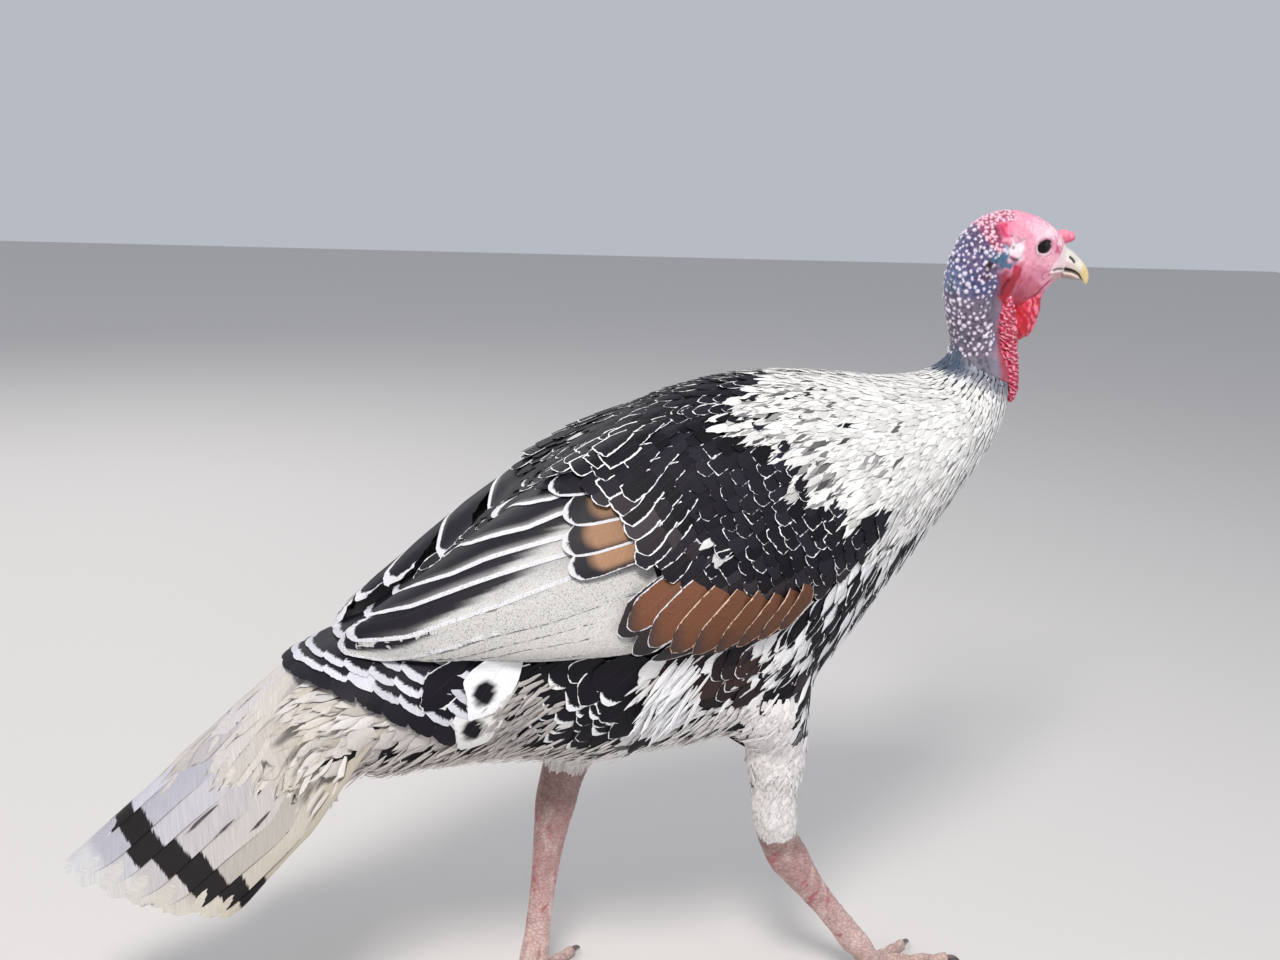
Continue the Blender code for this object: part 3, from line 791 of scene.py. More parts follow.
def buildHead():
    look = headLook
    parts = (["wattle_throat"], ["snood"], ["caruncles_left", "caruncles_right"])
    points, faces = voxelSkin(
        ["head", "neck_bare", "snood", "wattle_throat", "caruncles_left", "caruncles_right", "eye_left", "eye_right"],
        0.00113,
    )
    pairs = edgePairs(faces)
    points = relax(points, pairs, 6)
    wattle, snood, string = [nearNodes(points, *names) for names in parts]
    flesh = np.maximum(np.maximum(wattle, snood), string)
    # the muzzle narrows towards the bill and the chin draws back under it
    x, y, z = points.T
    points[:, 1] = y * (1 - 0.26 * (smooth(0.398, 0.4254, x) * (1 - snood)))
    limit = curve(
        z, 6370, 4000, 6464, 4052, 6634, 4092, 6766, 4084, 6841, 4126, 6889, 4170, 6925, 4230, 6980, 4400)
    over = 0.0012 * np.logaddexp(0, (x + 0.62 * np.abs(y) - limit) / 0.0012) * (1 - snood)
    back = [0.85 + 0 * x, 0.25 * np.sign(y) * smooth(0, 0.003, np.abs(y)), 0 * x]
    points = points - over[:, None] * np.stack(back, 1)
    points[:, 0] += 0.0012 * smooth(0.4225, 0.4250, x) * (1 - snood) + 0.12 * snood * np.maximum(0, x - 0.4200)
    points = relax(points, pairs, 4, 0.5 * smooth(0.396, 0.404, x) * smooth(0.704, 0.698, z))
    normal = outward(points, faces)
    points = points + (0.0002 + 0.0008 * snood)[:, None] * normal
    x, y, z = points.T
    xz, sided = points[:, [0, 2]], np.abs(y)
    face = (1 - flesh) * smooth(0.004, 0.009, sided)
    lump, pits = np.zeros(len(points)), np.zeros(len(points))
    for line, width, height in look["folds"]:
        lump += face * (height / tenths) * along(xz, line, width / tenths)
    for px, pz, size, depth in np.array(look["pits"]) / tenths:
        pit = face * peak(np.hypot(x - px, z - pz), 0, size)
        lump -= depth * pit
        pits = np.maximum(pits, pit)
    # twisted ridges on the neck strings, lumps and slanting folds on the wattle
    turnWay = 3.0 * ripple(points, 0.008, 2) + 1.2 * ripple(points, 0.0045, 12)
    ridge = np.sin((z + sided * 0.6 + x * 0.45) * waveTurn / 0.0046 + turnWay)
    stringRidge = string * (0.75 * ridge + 0.35 * ripple(points, 0.0040, 1))
    lump += 0.0011 * stringRidge
    bagFold = np.sin((x * 0.85 + z * 0.55) * waveTurn / 0.0080 + 3.0 * ripple(points, 0.014, 4))
    bag = wattle * (0.6 * bagFold + 0.5 * ripple(points, 0.0062, 3) + 0.15 * ripple(points, 0.0032, 16))
    frontBag = smooth(0.387, 0.397, x + 0.004 * ripple(points, 0.007, 14) + 0.25 * np.maximum(0, z - 0.660))
    lump += (0.0005 + 0.0002 * frontBag) * bag
    lump += 0.00035 * snood * ripple(points, 0.0040, 5)
    crown = smooth(0.735, 0.745, z) * (1 - flesh)
    horn = smooth(-0.0006, 0.0012, x - curve(z, *look["hornEdge"])) * (1 - snood)
    horn = horn * smooth(0.7262, 0.7240, z) * smooth(0.6925, 0.6940, z)
    lump += (0.00018 + 0.0004 * crown) * (1 - flesh) * (1 - horn) * ripple(points, 0.0038, 6)
    lump += 0.0003 * horn
    # pearls: pink rows from the crown down behind the ear, white ones over the nape and neck
    band = 1 - smooth(0.0045, 0.0065, awayFrom(xz, look["pearlBand"]))
    nape = (z < 0.742) & (z > 0.622) & (flesh < 0.1) & (band < 0.2) & (
        x < 0.3225 + 0.020 * smooth(0.60, 0.735, 0.735 - np.abs(z - 0.700)) + 0.016 * smooth(0.665, 0.64, z))
    # zone, beads, least and largest radius, gap in radii, chance of a chain
    zones = (
        ((band > 0.6) & (flesh < 0.1), 420, 0.0012, 0.0022, 0.84, 0.3),
        (nape & (x > 0.309), 600, 0.0012, 0.0024, 1.1, 0.5), (nape, 700, 0.0010, 0.0014, 1.5, 0.15),
    )
    pearl, bead = strewPearls(points, normal, zones, np.flatnonzero((x < 0.366) & (z > 0.615)))
    lump += 0.8 * pearl - 0.0004 * band * (1 - smooth(0, 0.0005, pearl))
    # flesh sinks behind the eyeball inside the lids, with a crease outside the lower lid
    ox, oz, oa, ob, tilt = look["opening"]
    ahead = ((x - ox) * math.cos(tilt) + (z - oz) * math.sin(tilt)) / oa
    up = (-(x - ox) * math.sin(tilt) + (z - oz) * math.cos(tilt)) / ob
    opening = np.hypot(ahead, up)
    atEye = sided > 0.008
    rearLow = smooth(-0.2, 0.8, -(0.62 * ahead + 0.78 * up) / np.maximum(opening, 0.2))
    lump += np.where(atEye, 0.0006 * peak(opening, 1.62, 0.14), 0)
    lump -= np.where(atEye, (0.0003 + 0.0008 * rearLow) * peak(opening, 1.42, 0.08), 0)
    points = points + normal * lump[:, None]
    sunk = np.where(atEye, 1 - smooth(0.96, 1.14, opening), 0)
    points[:, 1] = np.sign(y) * (np.abs(points[:, 1]) * (1 - sunk) + 0.0125 * sunk)
    # colours
    soft = points + 0.0030 * np.stack([ripple(points, 0.010, 7), 0 * x, ripple(points, 0.008, 8)], 1)
    tone = np.tile(look["centre"], (len(points), 1))
    for px, pz, rx, rz, *colour in look["patches"]:
        gap = np.hypot((soft[:, 0] - px / tenths) / (rx / tenths), (soft[:, 2] - pz / tenths) / (rz / tenths))
        tone = mixTone(tone, ink(*colour), 1 - smooth(0.5, 1.4, gap))
    belowChin = smooth(0.682, 0.673, z - 0.10 * (x - 0.38)) * smooth(0.352, 0.362, x)
    belowChin = belowChin * (1 - smooth(0.0, 0.016, sided) * 0.3)
    tone = toned(tone, ((186, 30, 56), belowChin), ((150, 60, 96), band * 0.8))
    nap = smooth(0.352, 0.340, x) * (1 - band)
    tone = tone * (1 - nap * (0.22 + 0.40 * smooth(-0.1, 0.6, ripple(points, 0.0045, 17))))[:, None]
    for line, width, colour, strength in look["strokes"]:
        tone = toned(tone, (colour, face * strength * along(xz, line, width / tenths)))
    # painted shade: the dark mouth line carried onto the horn at the bill's root
    cut = face * along(xz, look["strokes"][0][0], 0.0010)
    hornTone = toned(
        ink(244, 222, 224), ((222, 224, 214), smooth(0.712, 0.722, z)), ((196, 156, 158), smooth(0.7012, 0.6995, z)),
        ((40, 38, 34), cut * smooth(0.004, 0.007, sided)),
    )
    # painted highlight: white-pink on the tops of the string ridges
    pale = smooth(0.25, 0.9, ridge) * smooth(-0.6, 0.4, ripple(points, 0.0060, 15))

    def lumpy(name, amount):
        dark, light = look[name]
        return toned(ink(*dark), (light, amount))

    # strings: painted shade in the grooves and painted highlight on the ridges
    stringTone = toned(lumpy("string", smooth(-0.6, 0.2, stringRidge)), ((250, 186, 202), 0.85 * pale))
    # wattle: painted highlight on the bulges and painted shade in the folds, pinker highlights on its front
    bagTone = lumpy("wattle", smooth(0.0, 0.8, bag))
    bagTone = toned(bagTone, (toned(bagTone, ((238, 120, 148), smooth(-0.35, 0.5, bag) * 0.9)), frontBag))
    whiteness = smooth(0.15, 0.85, bead)
    pearlTone = toned(ink(230, 224, 240), ((248, 206, 220), np.maximum(band, smooth(0.738, 0.744, z))))
    tone = toned(
        tone, (hornTone, horn * 0.9), (stringTone, string), (bagTone, wattle),
        (lumpy("snood", smooth(0.728, 0.738, z)), snood), (pearlTone, whiteness),
    )
    # painted shade: darker in the ear opening and the other pits, and in a ring round the outer edge of the lids
    tone = tone * (1 - np.clip(0.75 * pits + 0.35 * peak(opening, 1.20, 0.10) * atEye, 0, 1))[:, None]
    # pale rear lower lid, then a dark line in the crease outside the lids, painted shade in that crease
    tone = toned(
        tone, ((236, 206, 214), atEye * rearLow * peak(opening, 1.26, 0.12)),
        ((112, 66, 78), atEye * (0.15 + 0.75 * rearLow) * peak(opening, 1.43, 0.055)),
    )
    cracked = np.clip(0.45 - 0.3 * flesh - 0.4 * horn + 0.3 * smooth(0.36, 0.34, x), 0, 1)
    return points, faces, tone, np.stack([whiteness, np.clip(flesh + whiteness, 0, 1), cracked], 1), 0


def buildLids(side, surface):
    # ring round the eye: a tube carried along the opening, thicker below
    ex, ey, ez, er = headLook["eye"]
    core = np.array([ex, ey, ez]) - er * unit(np.array(headLook["gaze"]))
    ox, oz, oa, ob, tilt = headLook["opening"]
    turn, section = np.linspace(0, fullTurn, 73)[:-1], np.linspace(0, fullTurn, 13)[:-1]
    a = (oa + 0.0004) * np.cos(turn) * (1 + 0.05 * np.abs(np.cos(turn)) ** 6)
    b = (ob + 0.0004) * np.sin(turn)
    cx = ox + a * math.cos(tilt) - b * math.sin(tilt)
    cz = oz + a * math.sin(tilt) + b * math.cos(tilt)
    ball = core[1] + np.sqrt(np.maximum((er + 0.0001) ** 2 - (cx - core[0]) ** 2 - (cz - core[2]) ** 2, 0))
    hits = [surface.ray_cast((float(p), side * 0.06, float(q)), (0, -side, 0)) for p, q in zip(cx, cz)]
    skinY = np.array([abs(h[0][1]) if h[0] is not None else ey for h in hits])
    depth = np.maximum(ball, np.minimum(skinY, ball + 0.0022))
    centre = np.stack([cx, side * depth, cz], 1)
    out = unit(np.stack([a * math.cos(tilt) - b * math.sin(tilt), 0 * a, a * math.sin(tilt) + b * math.cos(tilt)], 1))
    thick = (0.0007 + 0.0006 * smooth(0.2, -0.9, np.sin(turn + 0.5)))[:, None]
    grid = (
        centre[:, None] + out[:, None] * (thick * np.cos(section))[..., None] * 1.15
        + np.array([0, side, 0]) * (thick * np.sin(section))[..., None] * 0.9
    )
    faces = squares(closed(closed(np.arange(thick.size * len(section)).reshape(-1, len(section))).T).T)
    rim = np.clip(np.cos(section), 0, 1)[None, :, None]
    low = smooth(0.1, -0.8, np.sin(turn + 0.5))[:, None, None]
    tone = ink(190, 132, 150) * (1 - low) + ink(232, 206, 214) * low
    # painted shade on the lid ring: a quarter darker on its outer edge and up to nine tenths darker on its inner edge
    # against the eyeball, full colour on the side facing out of the head
    tone = tone * (1 - 0.25 * rim)
    tone = tone * (1 - 0.9 * smooth(0.0, 0.5, np.clip(-np.cos(section), 0, 1)[None, :, None]))
    relief = np.tile((0.0, 0.7, 0.2), (len(faces), 1))
    return grid.reshape(-1, 3), faces if side < 0 else faces[:, ::-1], tone.reshape(-1, 3), relief, 0


def darkness(points):
    # 0 where the coat is white, 1 where it is black: white neck, breast front and thighs
    x, z = points[..., 0], points[..., 2]
    dark = smooth(0.185, 0.115, x + 0.35 * (z - 0.55) - 0.03 * ripple(points, 0.05, 3))
    return dark * smooth(0.245, 0.30, z + 0.02 * ripple(points, 0.04, 5))


def buildCovered():
    # body under the feathers, sunk by the coat's depth, as light and dark as the coat above it
    points, faces = voxelSkin([n for n in coatNodes if n != "tail" and "quills" not in n], 0.0085)
    points = tucked(relax(points, edgePairs(faces), 5))
    sink = 0.0045 * smooth(0.625, 0.585, points[:, 2]) * (1 - 0.6 * smooth(0.26, 0.20, points[:, 2]))
    points = points - outward(points, faces) * (sink + 0.0006)[:, None]
    dark = darkness(points)[:, None]
    tone = tones["white"] * (1 - dark) * 0.75 + tones["soot"] * dark
    # slate at the nape's collar
    tone = mixTone(tone, tones["slate"], smooth(0.590, 0.604, points[:, 2]))
    return points, faces, tone, np.zeros((len(points), 3)), 1


def buildLegs():
    names = [f"{part}_{label}" for part in ("shank", "foot", "thigh") for label in ("left", "right")]
    points, faces = voxelSkin(names, 0.0020)
    hock = smooth(0.150, 0.170, points[:, 2])
    pairs = edgePairs(faces)
    points = relax(relax(points, pairs, 3), pairs, 22, 0.5 * hock)
    normal = outward(points, faces)
    left = points[:, 1] > 0
    covered = smooth(np.where(left, 0.222, 0.166), np.where(left, 0.246, 0.184), points[:, 2])
    slim = 0.0016 * smooth(0.030, 0.060, points[:, 2]) * (1 - covered)
    points = points + normal * (0.0004 - slim - 0.0042 * covered)[:, None]
    points[:, 2] = np.maximum(points[:, 2], 0.0)
    z = points[:, 2]
    scute = 0.5 + 0.5 * np.cos(z * waveTurn / 0.0075 + 1.2 * ripple(points, 0.03, 1))
    front = smooth(0.1, 0.8, normal[:, 0])
    points = points + normal * (0.0005 * scute * front * smooth(0.03, 0.06, z))[:, None]
    streaky = ripple(points * [1, 1, 0.4], 0.017, 2) + 0.5 * ripple(points, 0.008, 6)
    tone = toned(
        # painted shade of the body on the shanks: lighter near the feet, darker from 4 to 13 cm up
        ink(214, 184, 178), ((186, 150, 146), smooth(0.04, 0.13, z)),
        ((178, 96, 100), smooth(0.35, 0.9, streaky) * 0.8),
        ((226, 206, 198), smooth(0.2, 0.9, ripple(points * [1, 1, 0.5], 0.020, 8)) * 0.6),
        # painted shade of the body: the darkest band, just below the feathered thighs
        ((142, 116, 110), smooth(np.where(left, 0.17, 0.145), np.where(left, 0.20, 0.165), z) * 0.8),
        ((198, 172, 162), smooth(0.05, 0.015, z)), (tones["white"] * 0.8, covered),
    )
    return points, faces, tone, np.zeros((len(points), 3)), 2


def buildSkin():
    # pieces: points, faces, tone, relief, which of the skin's materials
    head = buildHead()
    headTree = BVHTree.FromPolygons(head[0].tolist(), head[1].tolist())
    pieces = [head, buildLids(-1, headTree), buildLids(1, headTree), buildCovered(), buildLegs()]
    skin = makeMesh("turkeySkin", *joined(pieces))
    giveAttribute(skin, "tone", np.concatenate([p[2] for p in pieces]), True)
    giveAttribute(skin, "relief", np.concatenate([p[3] for p in pieces]))
    for name in ("bare", "under", "scales"):
        skin.data.materials.append(materials[name])
    slots = np.concatenate([np.full(len(p[1]), p[4], dtype=np.int32) for p in pieces])
    skin.data.polygons.foreach_set("material_index", slots)
    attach(skin, "root")
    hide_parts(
        *coatNodes, "head", "snood", "wattle_throat", "caruncles_left", "caruncles_right",
        "shank_left", "shank_right", "foot_left", "foot_right",
    )
    say(f"skin: {len(slots) * 2} triangles")
    return skin


def finishHorn(piece, tone, material, node):
    giveAttribute(piece, "tone", tone, True)
    piece.data.materials.append(materials[material])
    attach(piece, "root")
    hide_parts(node)


def hornPiece(name, node, size, paint, carve=None, rounds=5):
    # a horn part closed and smoothed from its solid, with grooves pressed in along the normal
    points, faces = voxelSkin([node], size)
    points = relax(points, edgePairs(faces), rounds)
    depth = 0.0001 if carve is None else 0.0001 - carve(points)
    points = points + outward(points, faces) * np.reshape(depth, (-1, 1))
    finishHorn(makeMesh(name, points, faces), paint(points), "horn", node)


billLook = {
    # the gape colour is painted shade for the mouth slit between the two halves
    "nostril": (4306, 7141, 4340, 7118, 4367, 7092), "gape": (38, 40, 34),
    # lower edge of the upper half, upper edge of the lower half: x, z
    "edge": (4254, 7032, 4339, 7020, 4404, 7004, 4457, 6976, 4495, 6935, 4531, 6902, 4557, 6880),
    "lip": (4254, 7024, 4359, 7010, 4437, 6982, 4479, 6945),
}


def nostrilPit(points):
    return along(points[:, [0, 2]], billLook["nostril"], 0.0011)


def underLip(points):
    return points[:, 2] - curve(points[:, 0], *billLook["lip"])


def paintUpper(points):
    x, z = points[:, 0], points[:, 2]
    rise = z - curve(x, *billLook["edge"])
    return toned(
        ink(240, 222, 222), ((240, 234, 222), smooth(0.4270, 0.4330, x + 0.55 * (z - 0.715))),
        ((206, 210, 200), 0.6 * smooth(0.0006, 0.0030, z - 0.7050 - 0.45 * (0.447 - x)) * smooth(0.446, 0.438, x)),
        ((228, 206, 152), smooth(0.4440, 0.4530, x + 0.25 * (0.715 - z))),
        # painted shade along the mouth slit under the upper half's lower edge
        (billLook["gape"], 0.92 * smooth(0.0016, 0.0007, rise) * smooth(0.4535, 0.4490, x)),
        # painted shade in the nostril pit
        ((24, 16, 16), np.minimum(1, 1.3 * nostrilPit(points))),
    )


def paintLower(points):
    x, z = points[:, 0], points[:, 2]
    under = underLip(points)
    # painted shade: the gape colour in the mouth slit at the top of the lower half; it is also darker along its
    # lowest edge
    dark = np.maximum(smooth(-0.0018, -0.0008, under), 0.7 * smooth(0.6941, 0.6932, z))
    return toned(
        ink(166, 138, 134), ((206, 190, 160), smooth(0.434, 0.446, x)),
        ((226, 210, 204), peak(under, -0.0028, 0.0009)), (billLook["gape"], 0.9 * dark),
    )


def paintClaw(points):
    return tones["soot"] * 2.2 + ink(150, 120, 104) * smooth(0.004, 0.014, points[:, 2])[:, None]


hornPiece("billUpperHorn", "bill_upper", 0.0005, paintUpper, lambda p: 0.0013 * nostrilPit(p))
hornPiece(
    "billLowerHorn", "bill_lower", 0.0005, paintLower, lambda p: -0.0009 * smooth(-0.0016, -0.0002, underLip(p)))
for label in ("left", "right"):
    for toe in ("middle", "inner", "outer", "hind"):
        hornPiece(f"claw_{toe}_{label}_horn", f"claw_{toe}_{label}", 0.0006, paintClaw, None, 3)
say("bill and claws")


def buildEye(label, side):
    # front of a ball, flat behind: polar angle from the gaze by turn round it; pupil and iris by polar angle
    ex, ey, ez, er = headLook["eye"]
    p, t = np.meshgrid(np.linspace(0, halfTurn, 41)[1:-1], np.linspace(0, fullTurn, 49)[:-1], indexing="ij")
    rows, columns = p.shape
    axis = unit(np.array(headLook["gaze"]) * [1, side, 1])
    acrossWay = unit(np.cross(axis, [0, 0, 1.0]))
    upWay = np.cross(acrossWay, axis)
    corneal = 1 + 0.02 * peak(p, 0, 0.45)
    ball = (
        (np.maximum(np.cos(p), 0.42) * corneal)[..., None] * axis + (np.sin(p) * np.cos(t))[..., None] * acrossWay
        + (np.sin(p) * np.sin(t))[..., None] * upWay
    )
    points = np.concatenate([ball.reshape(-1, 3), [axis * 1.02], [axis * 0.42]]) * er
    points = points + np.array([ex, side * ey, ez]) - axis * er
    index = closed(np.arange(rows * columns).reshape(rows, columns))
    faces = squares(index).tolist()
    for pole, here, beyond in ((0, index[0, 1:], index[0, :-1]), (1, index[-1, :-1], index[-1, 1:])):
        faces += [(rows * columns + pole, int(i), int(j)) for i, j in zip(here, beyond)]
    mesh = bpy.data.meshes.new(f"eyeball_{label}")
    mesh.from_pydata(points.tolist(), [], faces)
    mesh.polygons.foreach_set("use_smooth", np.ones(len(faces), dtype=bool))
    far = np.concatenate([p.ravel(), [0, math.pi]])
    fibre = 0.85 + 0.25 * np.sin(np.concatenate([t.ravel(), [0, 0]]) * 24) * np.sin(far * 9)
    tone = mixTone(ink(9, 6, 7), ink(27, 13, 11) * fibre[:, None], 1 - smooth(0.62, 0.72, far))
    tone = toned(tone, ((3, 3, 4), 1 - smooth(0.38, 0.44, far)))
    finishHorn(link(f"eyeball_{label}", mesh), tone, "eye", f"eye_{label}")


buildEye("right", -1)
buildEye("left", 1)
buildSkin()


# feathers: rows over the body by station and angle
stationFine = np.linspace(0, 16, 641)
bodyFine = bodyAt(stationFine)
middleFine = np.stack([bodyFine[0] + bodyFine[2], bodyFine[1] + bodyFine[3]], 1) / 2
lengthFine = runAlong(middleFine)


def rowsOf(low, high, rowGap, gap, angleLow=-90, angleHigh=270, loose=0.3):
    # quincunx: rows evenly apart along the body, feathers evenly apart along each row's arc
    begin, end = np.interp([low, high], stationFine, lengthFine)
    angles = np.radians(np.linspace(angleLow, angleHigh, 400))
    station, angle = [], []
    for i, s in enumerate(np.interp(np.arange(begin, end, rowGap), lengthFine, stationFine)):
        wide = np.interp(s, stations, bodyLine[:, 4])
        tall = np.hypot(*[np.interp(s, stationFine, bodyFine[k] - bodyFine[k + 2]) for k in (0, 1)]) / 2
        run = runAlong(np.stack([wide * np.cos(angles), tall * np.sin(angles)], 1))
        marks = np.arange(gap * (0.25 + 0.5 * (i % 2)), run[-1], gap)
        marks = marks + gap * loose * (rng.random(len(marks)) - 0.5)
        angle.append(np.interp(marks, run, angles))
        station.append(s + (rng.random(len(marks)) - 0.5) * loose * rowGap / 0.055)
    return np.concatenate(station), np.concatenate(angle)


def bedOf(look, low, high, *more):
    s, a = rowsOf(low, high, look["rowGap"], look["gap"], *more)
    return Bed(s, a, *bodyPlace(s, a))


def blot(place, spots, low, high, rough):
    # 1 within ragged ovals, 0 outside: x, z, reach in x, reach in z
    x, z = place[:, 0], place[:, 2]
    return np.maximum.reduce([
        1 - smooth(low, high, np.hypot((x - px) / rx, (z - pz) / rz) + rough)
        for px, pz, rx, rz in np.reshape(spots, (-1, 4)) / tenths
    ])


def rimmed(bed, which, low, high):
    # rims from low to high wide on the chosen feathers, none on the others
    return np.where(which, spread(bed.n, low, high), noRim)


def onWing(place):
    # the folded wing covers this part of the side, seen in side view
    x, y, z = place[:, 0], np.abs(place[:, 1]), place[:, 2]
    lower = curve(
        x, -2400, 3850, -2000, 3720, -1200, 3800, 0, 3920, 800, 3920, 1300, 4120, 1800, 4550, 2250, 5000)
    upper = curve(x, -2400, 4000, -1500, 4700, -500, 5450, 300, 5850, 1000, 5800, 1600, 5600, 2250, 5250)
    return (x > -0.24) & (x < 0.225) & (z > lower) & (z < upper) & (y > 0.03)


def paleShoulder(place):
    # 0 on the black shoulder, 1 on the white shawl that the neck carries back over it
    x, z = place[:, 0], place[:, 2]
    border = curve(
        x, 700, 6000, 750, 5810, 940, 5720, 1150, 5600, 1310, 5510, 1430, 5390, 1600, 5230, 1820, 5130, 2110, 5120)
    return smooth(-0.006, 0.014, z - border + 0.010 * ripple(place, 0.03, 3)) * (x > 0.06)


def stackHeight(place, side):
    # the shoulder feathers climb over the stack of wing coverts behind them
    near = 0.35 + 0.65 * smooth(0.004, 0.045, np.abs(place[:, 1]))
    return np.where(side * np.ones(len(place)) < 0, 0.0112, 0.0050) * smooth(0.055, -0.005, place[:, 0]) * near


def darkBack(place):
    # 1 on the black back, 0 on the white shawl ahead of it
    border = curve(np.abs(place[:, 1]), 0, 1520, 210, 1340, 350, 1120, 530, 1020, 730, 1020, 900, 1200)
    return smooth(0.030, -0.014, place[:, 0] - border + 0.012 * ripple(place, 0.03, 1))


neckLook = {"rowGap": 0.0062, "gap": 0.0043, "length": 0.025, "half": 0.0025}


def buildNeckCoat():
    coat, look = Coat("neckFeathers"), neckLook
    bed = bedOf(look, 3.75, 9.3)
    keep = ~onWing(bed.place) | (paleShoulder(bed.place) > 0.25)
    keep &= bed.z > 0.482 + 0.012 * ripple(bed.place, 0.05, 1)
    keep &= (np.abs(bed.y) > 0.085) | (bed.z < 0.5) | (rng.random(bed.n) > darkBack(bed.place))
    bed = bed.keep(keep)
    n, s, x = bed.n, bed.s, bed.x
    down, grow = smooth(4.45, 4.0, s), smooth(4.2, 7.0, s)
    flecks = smooth(0.2, 0.9, ripple(bed.place, 0.035, 2)) * smooth(0.31, 0.24, x)
    dark = (rng.random(n) < 0.02 + 0.34 * smooth(0.25, 0.13, x) + 0.20 * flecks).astype(float)
    pale = varied(tones["white"], n, 0.74, 1.08)
    tone = mixTone(pale, varied(tones["grey"], n, 0.05, 0.6), dark * spread(n, 0.6, 1.0))
    tone = mixTone(tone, varied(ink(138, 140, 152), n, 0.7, 1.1), down)
    tone = mixTone(tone, tones["slate"], smooth(4.5, 4.1, s) * smooth(0.6, 0.95, np.sin(bed.a)))
    rim = np.where(rng.random(n) < 0.5 * dark, 0.0014, noRim)
    bed.turn(wavering(n, 14))
    coat.lay(bed, look["length"] * (0.55 + 0.75 * grow) * spread(n, 0.85, 1.2), look["half"] * (0.7 + 0.5 * grow),
             tone, tones["white"], rim, base=-0.0012, lift=0.055 + 0.06 * rng.random(n), taper=0.75,
             fray=0.22, ridge=0.0005, sway=wavering(n, 0.12))
    coat.finish()


breastLook = {"rowGap": 0.0150, "gap": 0.0085, "length": 0.036, "half": 0.0062}


def buildBreastCoat():
    coat, look = Coat("breastFeathers"), breastLook
    bed = bedOf(look, 6.6, 10.6, -90, 270, 0.22)
    x, z = bed.x, bed.z
    keep = (z < 0.535) & (z < 0.505 + 0.02 * ripple(bed.place, 0.06, 1) + 0.9 * np.maximum(0, 0.245 - x))
    bed = bed.keep(keep & ~onWing(bed.place) & (x > 0.085 + 0.25 * np.maximum(0, z - 0.40)))
    n, x, y, z = bed.n, bed.x, bed.y, bed.z
    steep = 24 * smooth(0.0, 0.05, np.abs(y)) * smooth(0.34, 0.42, z)
    bed.turn(-np.sign(y) * steep + wavering(n, 8))
    frontness = smooth(0.012, -0.012, x - curve(z, 3200, 1680, 3900, 2120, 4500, 2620, 5100, 3120))
    chance = 0.22 + 0.42 * frontness * smooth(0.52, 0.46, z) + 0.25 * smooth(0.42, 0.34, z)
    # dark feathers stand in columns
    column = ripple(bed.place * [1, 1, 0.16], 0.015, 9) + 0.35 * ripple(bed.place, 0.018, 11)
    dark = (0.5 + 0.9 * column + 0.5 * (rng.random(n) - 0.5) < chance).astype(float)
    pale = varied(tones["snow"], n, 0.75, 1.0)
    deep = mixTone(tones["black"], tones["soot"], smooth(0.42, 0.33, z) * rng.random(n))
    tone = mixTone(pale, varied(deep, n, 0.6, 1.7), dark)
    rim = rimmed(bed, (dark > 0.5) & (rng.random(n) < 0.75), 0.0010, 0.0022)
    coat.lay(bed, look["length"] * spread(n, 0.85, 1.25), look["half"] * spread(n, 0.85, 1.15), tone,
             tones["snow"], rim, across=4, lift=0.075 + 0.03 * rng.random(n), roundness=1.1, fray=0.07, ridge=0.0007)
    coat.finish()


backLook = {"rowGap": 0.0105, "gap": 0.0100, "length": 0.027, "half": 0.0072}


def buildBackCoat():
    coat, look = Coat("backFeathers"), backLook
    bed = bedOf(look, 7.0, 13.3, 25, 155)
    x, y, place = bed.x, np.abs(bed.y), bed.place
    limit = curve(x, -2000, 300, -1000, 450, 0, 500, 800, 620, 2000, 900)
    keep = (y < limit + 0.006 * ripple(place, 0.04, 2)) & (x < 0.215 + 0.01 * ripple(place, 0.03, 4))
    # behind the shoulders only the strip between the folded wings shows
    bed = bed.keep(keep & ((x > -0.062) | (y < curve(x, -2000, 300, -1650, 140, -1200, 120, -750, 100))))
    n, chance = bed.n, darkBack(bed.place)
    dark = (rng.random(n) < 0.16 + 0.84 * chance).astype(float)
    dark = np.where(rng.random(n) < 0.01, 0, dark)
    tone = mixTone(varied(tones["white"], n, 0.7, 1.0), varied(tones["black"], n, 0.5, 1.7), dark)
    rim = rimmed(bed, (dark > 0.5) & (rng.random(n) < 0.55), 0.0006, 0.0014)
    climb = stackHeight(bed.place, np.sign(bed.y)) * smooth(-0.075, -0.050, bed.x)
    coat.lay(bed, look["length"] * spread(n, 0.85, 1.15),
             look["half"] * spread(n, 0.9, 1.1) * (1 - 0.35 * (1 - chance)), tone, tones["snow"], rim,
             across=4, along=4, lift=0.10 + 0.02 * rng.random(n), base=-0.0015 + climb, roundness=0.8,
             taper=0.3 + 0.35 * (1 - chance), fray=0.04 + 0.1 * (1 - chance), ridge=0.0006, narrow=0.35)
    coat.finish()


shoulderLook = {
    "rowGap": 0.0122, "gap": 0.0112, "length": 0.027, "half": 0.0074,
    # frayed white patches among the black feathers
    "tufts": (
        490, 4940, 120, 60, 710, 4810, 100, 70, 330, 4970, 80, 40, 1000, 4570, 60, 50,
        1160, 4540, 60, 40, 1320, 5330, 140, 90, 880, 5770, 120, 50, 1900, 5060, 140, 90,
    ),
    "lower": (
        -500, 5480, -80, 5150, 20, 4880, 300, 4660, 800, 4460, 1300, 4460, 1700, 4480, 1900, 4550, 2250, 5000,
    ),
    "upper": (-500, 5700, 500, 6100, 1200, 5800, 2220, 5250),
}


